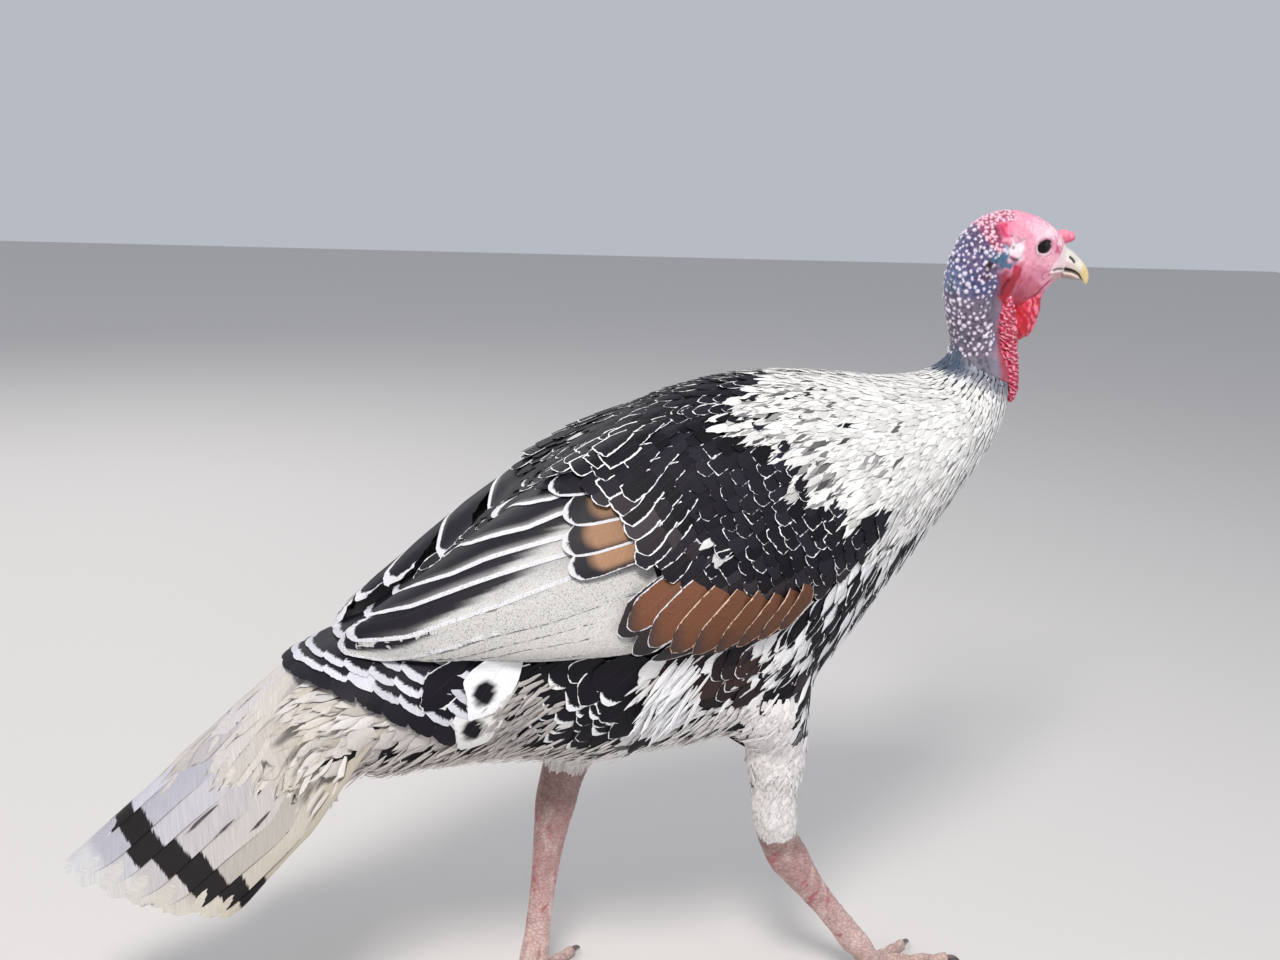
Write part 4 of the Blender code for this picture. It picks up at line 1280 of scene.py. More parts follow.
def buildShoulderCoat(label, side):
    coat, look = Coat(f"shoulderCoverts_{label}"), shoulderLook
    bed = bedOf(look, 7.2, 11.9, -12, 78, 0.14)
    x, z = bed.x, bed.z
    keep = (z > curve(x, *look["lower"])) & (x > -0.055) & (x < 0.222) & (z < curve(x, *look["upper"]))
    keep &= (paleShoulder(bed.place) < 0.6) | (rng.random(bed.n) < 0.25)
    bed = bed.keep(keep)
    bed = bed.keep(np.argsort(bed.x)[::-1])
    n, x, z, place = bed.n, bed.x, bed.z, bed.place
    size = 1 + 0.35 * smooth(0.06, -0.04, x)
    pale, tuft = paleShoulder(place), blot(place, look["tufts"], 0.6, 1.3, 0.2 * ripple(place, 0.012, 4))
    dark = (rng.random(n) > 0.70 * pale + 0.95 * tuft).astype(float)
    brown = smooth(0.02, 0.0, z - curve(x, 0, 5150, 300, 4800, 800, 4560, 1300, 4560, 1700, 4560)) * 0.6
    deep = varied(mixTone(tones["black"], tones["soot"] * 1.6, brown * rng.random(n)), n, 0.5, 1.8)
    tone = mixTone(varied(tones["white"], n, 0.6, 1.0), deep, dark)
    edged = (dark > 0.5) & (rng.random(n) < 0.50 + 0.35 * smooth(0.06, 0.01, x))
    rim = np.where(edged, spread(n, 0.0001, 0.0009) + 0.0005 * smooth(0.06, 0.0, x), noRim)
    bed.turn(10 + (10 + 30 * (1 - dark)) * (rng.random(n) - 0.5))
    if side > 0:
        bed = Bed(bed.s, math.pi - bed.a, *[v * [1, -1, 1] for v in (bed.place, bed.normal, bed.lie)])
    slim = 1 - 0.50 * smooth(0.0, 0.8, pale + tuft) * (1 - 0.5 * dark)
    coat.lay(bed, look["length"] * size * spread(n, 0.92, 1.1), look["half"] * size * slim * spread(n, 0.95, 1.08),
             tone, tones["snow"], rim, across=6, along=6, base=-0.0008 + stackHeight(bed.place, side),
             lift=0.085 + 0.03 * rng.random(n), roundness=0.10 + 0.5 * rng.random(n) + 0.6 * (1 - dark),
             taper=0.04 + 0.4 * (1 - slim), ridge=0.0006, fray=0.04 + 0.20 * (1 - dark), narrow=0.6)
    coat.finish()


def layQuill(coat, side, path, half, layer, tone, rimTone, rim, shift=0.0, wash=None, band=(0, 0, 0), speck=0.0,
             roundness=0.9, taper=0.3, across=10, along=18, lift=0.003, fray=0.004, ridge=0.0003, sink=0.004,
             tuck=0.3):
    # one long feather along a path on the coat surface; path, half and rim in tenths of a millimetre.
    # shift 1: the path is its lower edge, 0: its middle.
    # place = path(v) + up the side * half * (g u + shift), tips rounded by half * roundness * u^2 v^4
    path, half = np.reshape(path, (-1, 3)) / tenths, half / tenths
    if side > 0:
        path[:, 1] = np.maximum(-path[:, 1], 0.006)
    run = runAlong(path)
    length = run[-1]

    def onPath(far):
        return np.stack([np.interp(far, run, column) for column in path.T], -1)

    u = np.linspace(-1, 1, across + 1).reshape(1, -1)
    v = (1 - (1 - np.linspace(0, 1, along + 1)) ** 1.2).reshape(-1, 1)
    opened = widening(v, 0.7, 0.4)
    g = opened * closing(v, taper, 0.65)
    far = length * v - roundness * half * (u ** 2 - 0.35 * u * side) * v ** 4
    far = np.clip(far - fray * length * v ** 6 * rng.random((1, across + 1)), 0, length)
    line = onPath(far)
    way = unit(onPath(np.minimum(far + 0.004, length)) - onPath(np.maximum(far - 0.012, 0)))
    upward = unit(np.cross(onDrape(line)[1], way)) * side
    spot, up = onDrape(line + upward * (half * (shift * opened - g * u * side))[..., None])
    height = (0.0004 + 0.00056 * layer) * (tuck + (1 - tuck) * smooth(0, 0.3, v)) + lift * far
    height = height + ridge * (1 - np.abs(u)) * g - sink * (1 - v) ** 6
    # the stacks thin out where the folded wings meet on the back
    height = height * (0.35 + 0.65 * smooth(0.004, 0.045, np.abs(spot[..., 1])))
    if side > 0:
        height = 0.45 * height - 0.0008
    grid = spot + up * height[..., None]
    coat.take(grid, u, v, g * half, length, tone, rimTone, rim / tenths, wash, band, speck, far,
              edged=side if shift else 0)


quillLook = {
    "powder": np.array([0.62, 0.605, 0.585]), "haze": np.array([0.44, 0.43, 0.435]),
    # the edge colour is a painted shadow line along each lower quill's edge
    "rim": np.array([0.69, 0.68, 0.71]), "edge": np.array([0.16, 0.15, 0.16]),
    # hidden base that carries the silver underside: path, half width, brightness, specks
    "lower": (
        ((200, -1210, 4000, -600, -1120, 3890, -1350, -880, 3810), 90, 0.92, 0.45),
        ((150, -1200, 4100, -900, -1050, 3910, -1720, -780, 3800), 100, 1.0, 0.35),
        ((100, -1190, 4220, -1000, -1050, 4000, -2000, -620, 3740), 120, 1.0, 0.4),
        ((60, -1170, 4360, -1000, -1060, 4080, -2140, -550, 3720), 130, 0.94, 0.5),
        ((40, -1150, 4500, -900, -1080, 4200, -2260, -450, 3730), 140, 0.9, 0.6),
    ),
    # path, half width, rim, reach of the silver haze, specks
    "upper": (
        ((-110, -1120, 4700, -540, -1120, 4430, -1170, -1020, 4150, -1620, -870, 3960, -2050, -600, 3770,
          -2430, -300, 3680), 190, 30, 1.15, 0.5),
        ((-200, -1100, 4780, -720, -1040, 4540, -1220, -950, 4320, -1910, -700, 3990, -2390, -360, 3800),
          200, 34, 0.74, 0.45),
        ((-200, -1050, 4900, -780, -930, 4690, -1350, -780, 4460, -1860, -580, 4190, -2260, -320, 3970),
          190, 38, 0.5, 0.35),
        ((-200, -990, 5000, -810, -840, 4800, -1270, -690, 4610, -1540, -600, 4460, -2040, -300, 4160),
          180, 40, 0.36, 0.25),
        ((-150, -900, 5170, -690, -740, 4990, -950, -690, 4860, -1360, -480, 4670, -1650, -120, 4460),
          170, 40, 0.2, 0.1),
        ((-100, -760, 5330, -730, -610, 5070, -900, -510, 5000, -1210, -100, 4800), 160, 34, 0.0, 0.0),
        ((-100, -600, 5450, -550, -400, 5250, -900, -40, 5030), 140, 18, 0.0, 0.0),
    ),
}


def buildWingQuills(label, side):
    coat, look = Coat(f"wingQuills_{label}"), quillLook
    for i, (path, half, bright, speck) in enumerate(look["lower"]):
        # painted shadow: a thin rim in the edge colour along each lower quill's edge and tip
        layQuill(coat, side, path, half, i, look["powder"] * bright, look["edge"], 5, 1.0, speck=speck,
                 roundness=1.1, taper=0.5, ridge=0.0004)

    def hazed(reach):
        # silver from the root, farthest along the lower edge and denser there like powder, black beyond
        def amount(u, v, far):
            low = np.clip(((1 + u * side) / 2 - 0.42) / 0.5, 0, 1)
            edge = reach * (0.30 + 0.70 * low) + 0.03 * np.sin(low * 17 + reach * 50)
            powder = smooth(0.62, 1.0, low) * smooth(0.98, 0.5, v) * 0.5
            share = low[..., None]
            pale = look["haze"] * (1 - share) + look["powder"] * share
            return np.maximum(0.97 * smooth(0.06, -0.08, v - edge), powder), pale
        return amount

    for i, (path, half, rim, reach, speck) in enumerate(look["upper"]):
        layQuill(coat, side, path, half, i + 4, tones["black"] * 1.2 * (1 + 0.25 * rng.random()), look["rim"], rim,
                 1.0, hazed(reach), (1.0, -0.002, 0.0100 if rim > 20 else 0.003), speck, 0.9, 0.26, 16, 40)
    coat.finish("quill")


covertLook = {
    # path, half width, rim, brightness of the copper heart and its share of the length
    "greater": (
        ((100, -1110, 4780, -660, -1070, 4500), 145, 6, 1.0, 0.76),
        ((100, -1060, 4920, -690, -980, 4660), 155, 22, 0.9, 0.78),
        ((80, -980, 5080, -660, -850, 4870), 165, 24, 0.7, 0.72),
        ((60, -860, 5240, -730, -620, 5040), 160, 24, 0.3, 0.36),
        ((40, -720, 5390, -720, -420, 5150), 150, 24, 1.0, 0),
        ((40, -560, 5500, -620, -180, 5240), 145, 20, 1.0, 0),
    ),
    # path, half width, rim
    "medium": (
        ((200, -1080, 5000, -200, -990, 4950), 110, 14), ((200, -1000, 5140, -240, -860, 5110), 115, 18),
        ((180, -880, 5300, -340, -710, 5220), 120, 20), ((150, -740, 5450, -400, -560, 5320), 120, 20),
        ((100, -580, 5560, -560, -260, 5290), 130, 20),
    ),
    # fanned copper feathers under the shoulder, rear ones lowest: path, half width
    "fan": (
        ((300, -1220, 4640, -260, -1210, 4200), 130), ((470, -1240, 4580, -80, -1240, 4060), 130),
        ((640, -1260, 4530, 120, -1230, 4000), 125), ((810, -1270, 4490, 320, -1210, 3970), 115),
        ((980, -1270, 4470, 520, -1190, 3970), 105), ((1130, -1250, 4460, 720, -1180, 3990), 100),
        ((1260, -1230, 4480, 920, -1160, 4030), 95), ((1370, -1200, 4520, 1100, -1130, 4110), 85),
    ),
    # dark feathers under the fan: path, half width, layer, rim
    "under": (
        ((600, -1220, 4150, 0, -1190, 3880), 100, 3.0, 8), ((1100, -1180, 4120, 400, -1170, 3910), 90, 2.0, -10),
        ((1400, -1120, 4250, 800, -1130, 3980), 90, 1.5, -10),
    ),
    "rear": (
        ((220, -1220, 4580, -330, -1200, 4150), 150, 7.0, 8), ((380, -1230, 4500, -200, -1220, 3990), 140, 7.5, 10),
    ),
}


def buildWingCoverts(label, side):
    coat, look = Coat(f"wingCoverts_{label}"), covertLook
    black, soot, white = tones["black"] * 1.2, tones["soot"], quillLook["rim"]

    def hearted(tint, reach):
        # the heart of the vane is copper from its root to that share of the length
        def amount(u, v, far):
            aside = np.abs(u)
            heart = smooth(reach + 0.05, reach - 0.07, v + 0.10 * aside ** 2)
            return heart * smooth(0.95, 0.55, aside), tones["tan"] * tint
        return amount

    def tipped(u, v, far):
        # dark at the tip
        return smooth(0.72, 1.0, v - 0.08 * u * side) * 0.8, soot * 1.5

    def laySoot(rows):
        for path, half, layer, rim in rows:
            layQuill(coat, side, path, half, layer, soot, white, rim)

    for i, (path, half, rim, tint, reach) in enumerate(look["greater"]):
        layQuill(coat, side, path, half, 11.5 + i * 0.7, black, white * 0.92, rim, 1.0,
                 hearted(tint, reach) if reach else None, (1.0, -0.002, 0.0046), 0.0, 0.7, 0.2, 12, 16)
    for i, (path, half, rim) in enumerate(look["medium"]):
        layQuill(coat, side, path, half, 16 + i * 0.5, black, white * 0.92, rim, 1.0, roundness=0.6, taper=0.15,
                 across=8, along=10, tuck=0.0, sink=0.008)
    laySoot(look["under"])
    for i, (path, half) in enumerate(look["fan"]):
        tone = tones["copper"] * (1.1 - 0.06 * i) * (0.9 + 0.2 * rng.random())
        if i == 0:
            laySoot(look["rear"])
        # light at the rear edge of the first ones
        rimTone, rim = (np.array([0.70, 0.50, 0.38]), 8) if i > 1 else (white, 10)
        layQuill(coat, side, path, half, 8 + i * 0.6, tone, rimTone, rim, roundness=0.8, taper=0.25, fray=0.02,
                 wash=tipped, across=8, along=12)
    coat.finish("quill")


bellyLook = {
    "rowGap": 0.0135, "gap": 0.0125, "length": 0.036, "half": 0.0085,
    # patches of black feathers and the tuft of down: x, z, reach in x, reach in z
    "brown": (920, 3740, 460, 270, 700, 3900, 500, 200),
    "black": (
        -150, 3450, 420, 360, -1050, 3820, 500, 180, -400, 3750, 600, 220,
        -100, 2950, 340, 220, 1500, 3300, 200, 300, -610, 3150, 120, 160,
    ),
    "tuft": (340, 3560, 200, 300), "barred": (-350, 3450, 650, 450),
}


def buildBellyCoat():
    coat, look = Coat("bellyFeathers"), bellyLook
    bed = bedOf(look, 8.6, 15.2, -90, 270, 0.35)
    x, z = bed.x, bed.z
    under = curve(x, -2800, 2800, -2300, 3150, -1600, 3250, -1000, 3850, 0, 4000, 800, 4000, 1300, 4150)
    bed = bed.keep(~onWing(bed.place) & (z < under + 0.01) & (x < 0.14 + 0.25 * (0.40 - z)))
    n, x, y, z = bed.n, bed.x, np.abs(bed.y), bed.z
    rough = 0.12 * ripple(bed.place, 0.02, 3)
    brown, black, tuft, barred = [
        blot(bed.place, look[name], 0.75, 1.1, rough) for name in ("brown", "black", "tuft", "barred")
    ]
    dark = (np.maximum(brown, black) * smooth(0.02, 0.045, y) * (1 - tuft) > 0.45).astype(float)
    dark = np.where(rng.random(n) < 0.12, 1 - dark, dark) * smooth(0.28, 0.30, z)
    fluff = mixTone(ink(196, 190, 186), ink(236, 234, 234), smooth(-0.10, 0.02, x))
    deep = mixTone(tones["black"], ink(62, 46, 44), brown * rng.random(n))
    tone = mixTone(varied(fluff, n, 0.8, 1.05), deep, dark)
    rim = rimmed(bed, (dark > 0.5) & (rng.random(n) < 0.35), 0.0004, 0.0016)
    bar = (dark > 0.5) & (rng.random(n) < 0.50) & (barred > 0.5)
    down = 14 + 22 * smooth(0.12, 0.0, x) * smooth(0.30, 0.38, z)
    bed.turn(-np.sign(bed.y) * down + wavering(n, 16))
    coat.lay(bed, look["length"] * spread(n, 0.85, 1.2) * (1 + 0.25 * dark),
             look["half"] * spread(n, 0.9, 1.15) * (1 + 0.60 * dark), tone, tones["snow"],
             np.where(bar, noRim, rim), across=6, along=6, lift=0.08 + 0.03 * rng.random(n) + 0.02 * (1 - dark),
             roundness=0.75, taper=0.25 + 0.25 * (1 - dark), fray=0.04 + 0.16 * (1 - dark), ridge=0.0007,
             speck=0.15 * dark, edged=1, band=(bar.astype(float), -0.002, spread(n, 0.0025, 0.0060)))
    coat.finish()


fluffLook = {"rowGap": 0.0058, "gap": 0.0050, "tuft": (340, 3560, 220, 300), "grey": (-940, 3380, 280, 300)}


def buildFluff():
    # white tuft on the flank, pale down under the tail and between the legs: narrow loose blades
    coat, look = Coat("downFluff"), fluffLook
    bed = bedOf(look, 8.8, 15.6, -90, 270, 0.8)
    x, y, z, rough = bed.x, np.abs(bed.y), bed.z, 0.30 * ripple(bed.place, 0.016, 5)
    tuft = blot(bed.place, look["tuft"], 0.75, 1.3, rough) * (y > 0.05)
    grey = blot(bed.place, look["grey"], 0.8, 1.1, rough) * (y > 0.05)
    vent = smooth(0.312, 0.295, z) * smooth(0.02, -0.06, x)
    belly = smooth(0.345, 0.315, z) * smooth(0.03, 0.06, x) * smooth(0.152, 0.130, x)
    wants = np.maximum(np.maximum(tuft, grey), 0.7 * np.maximum(vent, belly))
    keep = (rng.random(bed.n) < wants * 0.9) & (z < 0.39)
    bed, tuft, grey = bed.keep(keep), tuft[keep], grey[keep]
    n = bed.n
    tone = varied(mixTone(ink(214, 208, 203), ink(236, 233, 231), smooth(-0.05, 0.05, bed.x)), n, 0.8, 1.05)
    tone = mixTone(tone, varied(tones["snow"], n, 0.9, 1.1), tuft)
    tone = mixTone(tone, varied(ink(178, 173, 170), n, 0.86, 1.04), grey)
    bed.turn(wavering(n, 34) - np.sign(bed.y) * (18 + 22 * tuft))
    coat.lay(bed, (0.021 + 0.012 * tuft) * spread(n, 0.8, 1.5), 0.0018 * spread(n, 0.7, 1.3), tone, tone * 0.9,
             across=2, along=4, base=0.001, lift=0.14 + 0.12 * rng.random(n), taper=0.85, fray=0.15,
             sway=wavering(n, 0.1))
    coat.finish()


def ringTree(low, high):
    # the rump and tail root as plain rings
    s, a = np.meshgrid(np.linspace(low, high, 60), np.linspace(0, fullTurn, 97)[:-1], indexing="ij")
    points = edgeAt(s.ravel(), a.ravel())
    return BVHTree.FromPolygons(points.tolist(), squares(closed(np.arange(s.size).reshape(s.shape))).tolist())


def onRings(station, angle):
    # place, way out and the way to the tail on the plain rings
    place, way = edgeAt(station, angle), ringAt(station, angle)[1]
    return place, way, flattened(edgeAt(station + 0.12, angle) - place, way)


rumpLook = {
    # each row of tips: station on the back, how much farther forward on the sides, lowest angle, white ends' length
    "rows": (
        (13.75, 0.85, 0.55, 0.0065), (14.15, 0.95, 0.25, 0.0070), (14.55, 1.05, 0.05, 0.0070),
        (14.88, 1.15, -0.12, 0.0062), (15.06, 1.08, -0.25, 0.0060), (15.24, 0.95, -0.40, 0.0),
    ),
    "half": 0.0125, "length": 0.040,
    # round feathers near the flank, the white ones with a dark oval: path, half width, colour, rim
    "flank": (
        ((-1120, -880, 3920, -1440, -820, 3330), 195, "snow", -10),
        ((-1220, -850, 3580, -1500, -720, 3020), 190, "white", -10),
        ((-1420, -830, 3850, -1840, -780, 3420), 150, "black", 10),
    ),
}


def buildRump():
    coat, look = Coat("rumpCoverts"), rumpLook
    tree, half, length = ringTree(11.5, 16), look["half"], look["length"]
    for k, (top, slant, low, white) in enumerate(look["rows"]):
        # tips evenly along the row's curve; each feather square to that curve
        def atRow(angle):
            return top - slant * (1 - np.sin(angle))

        angle = np.linspace(low, halfTurn - low, 400)
        run = runAlong(onRings(atRow(angle), angle)[0])
        angle = np.interp(np.arange(half * (0.9 if k % 2 else 0.3), run[-1], 1.8 * half), run, angle)
        place, normal, lie = onRings(atRow(angle), angle)
        square = unit(np.cross(normal, onRings(atRow(angle + 0.02), angle + 0.02)[0] - place))
        square = square * np.sign((square * lie).sum(1, keepdims=True))
        lie = flattened(unit(0.8 * square + 0.2 * lie), normal)
        bed = Bed(atRow(angle), angle, place - lie * length, normal, lie)
        n = bed.n
        tone, ends = varied(tones["black"], n, 0.9, 1.6), varied(ink(204, 204, 212), n, 0.85, 1.1)
        if k == 4:
            # one odd white feather
            tone = np.where((np.abs(angle - 0.62) < 0.13)[:, None], ends, tone)
        coat.lay(bed, length * spread(n, 0.98, 1.03), half * spread(n, 1.0, 1.06), tone, ends,
                 band=(1.0 if white else 0.0, -0.002, white), across=10, along=9, base=0.0004, lift=0.11,
                 roundness=0.20, taper=0.04, ridge=0.0001, fray=0.02, narrow=0.8, tree=tree)
    # pale under tail coverts below the rows
    s, a = rowsOf(13.2, 15.7, 0.0105, 0.0085, -95, 62, 0.5)
    s, a = np.concatenate([s, s]), np.concatenate([a, halfTurn - a])
    chance = 0.12 + smooth(15.7, 14.9, s + 0.35 * np.sin(a))
    bed = Bed(s, a, *onRings(s, a)).keep(((np.sin(a) < 0.28) | (s > 14.35)) & (rng.random(len(s)) < chance))
    n = bed.n
    bed.turn(wavering(n, 20))
    coat.lay(bed, 0.038 * spread(n, 0.8, 1.2), 0.0042 * spread(n, 0.8, 1.2),
             varied(mixTone(ink(196, 188, 176), ink(216, 212, 210), rng.random(n)), n, 0.78, 1.05), tones["soot"],
             base=-0.004 - 0.0035 * smooth(14.3, 15.0, bed.s), lift=0.09 + 0.03 * rng.random(n), taper=0.8,
             fray=0.22, ridge=0.0008, narrow=0.35, tree=tree)

    def spotted(u, v, far):
        return smooth(1.0, 0.75, np.hypot(u / 0.55, (v - 0.62) / 0.19)), tones["black"]

    for side in (-1, 1):
        for path, half, name, rim in look["flank"]:
            layQuill(coat, side, path, half, 5.5, tones[name], tones["white"], rim, 0.0,
                     spotted if name != "black" else None, across=12, along=14, taper=0.35, fray=0.06, lift=0.03)
    coat.finish()


tailLook = {
    "root": (-0.2711, 0, 0.3640), "pitch": math.radians(43.0), "length": 0.257, "feathers": 7,
    # length, half width and droop of the closed tail, in thousandths
    "outline": (0, 74, 66, 300, 89, 82, 580, 97, 85, 780, 84, 74, 920, 62, 56, 1000, 36, 32),
    # the first colour here is painted shade, for the thin dark blades where the vanes part
    "partingShade": ink(78, 72, 74), "gap": np.array([0.016, 0.013, 0.014]),
}


def tailPoint(share, offset, lift):
    # share of the length, sideways place in metres: on the arch y -> droop sin^2 of the tail
    look = tailLook
    at, halves, droops = np.reshape(look["outline"], (-1, 3)).T / 1000
    half = np.maximum(np.interp(share, at, halves), 0.097 * (share > 0.58))
    droop = np.maximum(np.interp(share, at, droops), 0.085 * (share > 0.58))
    t = np.clip(offset / half, -1.15, 1.15)
    down = droop * np.sin(t * halfTurn / 2) ** 2 * 0.98
    along = np.array([-np.cos(look["pitch"]), 0, -np.sin(look["pitch"])])
    up = np.array([-np.sin(look["pitch"]), 0, np.cos(look["pitch"])])
    slope = halfTurn / 2 * droop / half * np.sin(t * halfTurn)
    sideways = np.array([0, 1.0, 0])
    outwards = unit(slope[..., None] * sideways + up)
    centre = np.array(look["root"]) + along * (share * look["length"])[..., None] + offset[..., None] * sideways
    return centre + up * (-down)[..., None] + outwards * lift[..., None]


def tailBlade(coat, offset, start, reach, half, layer, pale, tipTone, band=(0, 0, 0), ragged=0.010, splits=4,
              turn=0.0, across=8, along=14, taper=0.9):
    # a vane on the tail's arch from start to reach (shares of its length), with a few barbs split at the end
    u = np.linspace(-1, 1, across + 1)[None, :]
    v = (1 - (1 - np.linspace(0, 1, along + 1)) ** 1.15)[:, None]
    g = widening(v, 0.6, 0.4) * closing(v, taper, 0.82)
    cut = sum(rng.random() * peak(u, 1.8 * (rng.random() - 0.5), 0.07) for _ in range(splits))
    span = reach - start
    share = start + span * v - 0.045 * u ** 2 * v ** 6
    share = share - (ragged * rng.random((1, across + 1)) + 0.03 * cut) * v ** 7
    sideways = offset * (0.74 + 0.26 * smooth(0, 0.45, start + v * span)) + half * g * u + turn * v ** 2
    height = layer + 0.0009 * (1 - np.abs(u)) * g + 0.0004 * v - 0.004 * (1 - v) ** 5
    height = height + 0.0005 * np.sin(7 * v + 3 * u)
    grid = tailPoint(share, sideways, height)

    def tipped(u, v, far):
        return smooth(0.86, 0.91, v), tipTone

    coat.take(grid, u, (share - start) / span, half * g, tailLook["length"] * span, pale, tailLook["gap"], noRim,
              tipped, band, 0.0, share)


def buildTail():
    coat, count = Coat("tailFeathers"), tailLook["feathers"]
    lilac, cream, snow = tones["lilac"] * 0.78, tones["cream"] * 0.84, tones["snow"] * 0.66

    def jitter(size):
        return size * (rng.random() - 0.5)

    def shelf(out):
        # blades lie lower towards the sides
        return -0.0040 + 0.0060 * (1 - out)

    for pair in reversed(range(count)):
        for side in (-1, 1):
            out = pair / (count - 1)
            reach = 1.0 - 0.30 * out ** 1.4 + jitter(0.02)
            pale = (lilac * (1 - out) + cream * out) * (0.82 + 0.28 * rng.random())
            low = 0.054 - 0.030 * out + jitter(0.008)
            high = low + 0.026 + jitter(0.006)
            tailBlade(coat, side * (0.008 + 0.080 * out), 0.0, min(reach, 1.0), 0.0195 - 0.003 * out,
                      shelf(out) + (0.0004 if side > 0 else 0), pale, snow * (1 - out) + cream * out,
                      (1.0, low, high), turn=side * jitter(0.004), across=14, along=30, taper=0.34)
    # cream upper coverts with loose ends over the first half, in three tiers
    for k in range(84):
        out, side, tier = (k % 28) / 27, -1 if k % 2 else 1, 2 - k // 28
        offset = side * (0.003 + 0.066 * out + 0.004 * rng.random())
        reach = (0.32 + 0.14 * tier + 0.12 * rng.random()) * (1 - 0.30 * out)
        pale = mixTone(lilac * (1 - out) + cream * out, ink(206, 199, 190), 0.3 + 0.7 * rng.random())[0]
        pale = pale * (0.80 + 0.24 * rng.random())
        tailBlade(coat, offset, 0.0, reach, 0.0068, shelf(out) + 0.0008 + 0.0004 * (2 - tier), pale, pale,
                  ragged=0.05, turn=side * jitter(0.010))
    # painted shade: thin dark blades laid where the vanes part
    partingShade = tailLook["partingShade"]
    for k in range(7):
        side, out = -1 if k % 2 else 1, rng.random()
        begin = 0.35 + 0.30 * rng.random()
        reach = min(begin + 0.08 + 0.10 * rng.random(), 0.97 - 0.27 * out)
        tailBlade(coat, side * (0.006 + 0.070 * out), begin, reach, 0.0003 + 0.0004 * rng.random(),
                  shelf(out) + 0.0030, partingShade, partingShade, ragged=0.0, splits=0, turn=side * jitter(0.002), across=2,
                  along=10)
    coat.finish("quill")


thighLook = {
    # line down the leg (x, y, z, radius), slant of the feathers, heights where they shorten, place on the map
    "right": (
        (1260, -500, 3500, 550, 1390, -540, 3050, 420, 1540, -500, 2620, 275, 1580, -460, 2200, 238,
         1660, -430, 1660, 215), -0.10, 0.195, 0.160, 0.55,
    ),
    "left": (
        (510, 500, 3500, 580, 230, 540, 3000, 440, -20, 480, 2580, 310, -160, 410, 2220, 250),
        -0.35, 0.25, 0.215, 0.78,
    ),
    "perRing": 38,
}


def buildThighs():
    # short close feathers on both thighs, rings round each leg's axis
    coat, per = Coat("thighFeathers"), thighLook["perRing"]
    for label in ("right", "left"):
        line, slant, high, below, start = thighLook[label]
        line = np.reshape(line, (-1, 4))[::-1] / tenths
        z = np.arange(line[0, 2] - 0.004, 0.335, 0.0046)
        zz = np.repeat(z, per) + wavering(len(z) * per, 0.003)
        turn = np.tile(np.linspace(0, fullTurn, per, endpoint=False), len(z))
        turn = turn + np.repeat(np.arange(len(z)) % 2, per) * halfTurn / per
        turn = turn + wavering(len(turn), 0.06)
        cx, cy, cr = [np.interp(zz, line[:, 2], line[:, k]) for k in (0, 1, 3)]
        way = np.stack([np.cos(turn), np.sin(turn), 0 * turn], 1)
        outside = np.stack([cx, cy, zz], 1) + way * (cr + 0.012 + 0.016 * smooth(0.24, 0.27, zz))[:, None]
        root, normal, good = castIn(outside, way, 0.06, outside)
        good &= ((normal * way).sum(1) > 0.3) & ~((root[:, 2] > 0.286) & (root[:, 0] > 0.150))
        bed = Bed(zz, turn, root, normal, way).keep(good)
        n, zz = bed.n, bed.s
        bed.lie = flattened(np.tile([[slant, 0, -1.0]], (n, 1)), bed.normal)
        bed.turn(wavering(n, 16))
        low = smooth(high, below, zz)
        pale, rosy = varied(ink(236, 232, 230), n, 0.8, 1.05), varied(ink(186, 170, 160), n, 0.8, 1.1)
        tone = mixTone(pale, rosy, low * spread(n, 0.4, 1))
        size = 1 - 0.45 * low
        mapAt = np.stack([start + 0.18 * bed.a / waveTurn, 0.03 + 0.2 * (zz - 0.17) / 0.2], 1)
        coat.lay(bed, 0.0165 * size * spread(n, 0.85, 1.25), 0.0030 * size * spread(n, 0.9, 1.2), tone,
                 tones["grey"], mapAt=mapAt, along=4, base=-0.0014 + 0.0034 * smooth(0.235, 0.262, zz),
                 lift=0.06 + 0.05 * rng.random(n), roundness=1.0, fray=0.2, ridge=0.0003)
    coat.finish()


buildNeckCoat()
buildBreastCoat()
buildBackCoat()
for label, side in (("right", -1), ("left", 1)):
    buildShoulderCoat(label, side)
    buildWingQuills(label, side)
    buildWingCoverts(label, side)
buildBellyCoat()
buildFluff()
buildRump()
buildTail()
buildThighs()
say("coat done")




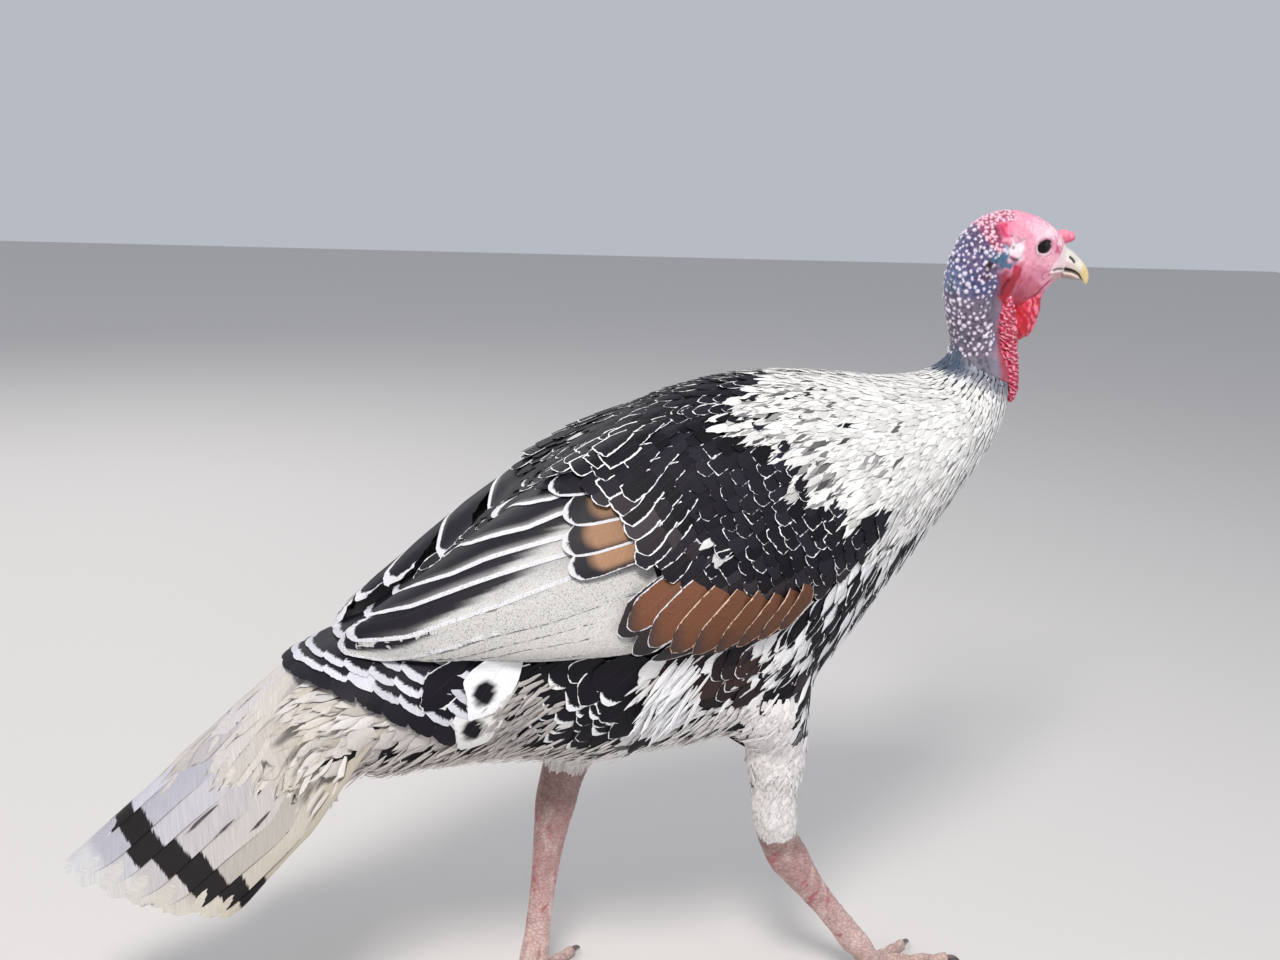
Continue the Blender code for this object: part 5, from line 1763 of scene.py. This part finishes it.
# floor, light and camera
def buildStage():
    corners = np.array([(-6, -6, 0), (6, -6, 0), (6, 6, 0), (-6, 6, 0)], dtype=float)
    floor = makeMesh("floor", corners, np.array([[0, 1, 2, 3]]), False)
    material = bpy.data.materials.new("paleFloor")
    material.use_nodes = True
    shader = material.node_tree.nodes["Principled BSDF"].inputs
    shader["Base Color"].default_value = (0.62, 0.60, 0.58, 1)
    shader["Roughness"].default_value = 0.85
    floor.data.materials.append(material)
    floor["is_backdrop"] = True
    bpy.context.scene.view_settings.view_transform = "Standard"
    world = bpy.data.worlds.new("studio")
    bpy.context.scene.world = world
    world.use_nodes = True
    sky = world.node_tree.nodes["Background"].inputs
    sky[0].default_value = (0.86, 0.90, 1.0, 1)
    sky[1].default_value = 0.55
    for name, spot, aim, power, size, colour in (
        ("keyLight", (-0.9, -1.7, 2.6), (0.05, 0, 0.4), 78, 0.7, (1.0, 0.97, 0.93)),
        ("fillLight", (2.2, -1.6, 1.2), (0.1, 0, 0.4), 16, 2.0, (0.92, 0.95, 1.0)),
        ("rimLight", (-0.6, 2.2, 2.0), (0.0, 0, 0.4), 26, 1.4, (1.0, 0.98, 0.95)),
    ):
        light = bpy.data.lights.new(name, "AREA")
        light.energy, light.size, light.color = power, size, colour
        lamp = link(name, light)
        lamp.location = spot
        lamp.rotation_euler = (Vector(aim) - Vector(spot)).to_track_quat("-Z", "Y").to_euler()


def buildCamera():
    # stands off the right rear side, pitched 14.5 degrees down, rolled 3.7 degrees
    camera = link("camera", bpy.data.cameras.new("camera"))
    heading, pitch, roll = math.radians(20), math.radians(14.5), math.radians(3.7)
    ahead = Vector((math.sin(heading), math.cos(heading), 0))
    forward = ahead * math.cos(pitch) - Vector((0, 0, math.sin(pitch)))
    upward = ahead * math.sin(pitch) + Vector((0, 0, math.cos(pitch)))
    flat = forward.cross(upward)
    right = flat * math.cos(roll) + upward * math.sin(roll)
    top = upward * math.cos(roll) - flat * math.sin(roll)
    turn = Matrix((right, top, -forward)).transposed().to_4x4()
    turn.translation = Vector((-0.4281, -1.24, 0.85))
    camera.matrix_world = turn
    camera.data.lens = 43.65
    camera.data.sensor_width = 36
    bpy.context.scene.camera = camera


buildStage()
buildCamera()
bpy.context.view_layer.update()
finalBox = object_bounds()
say(f"box {[[round(float(c), 3) for c in corner] for corner in finalBox]}")
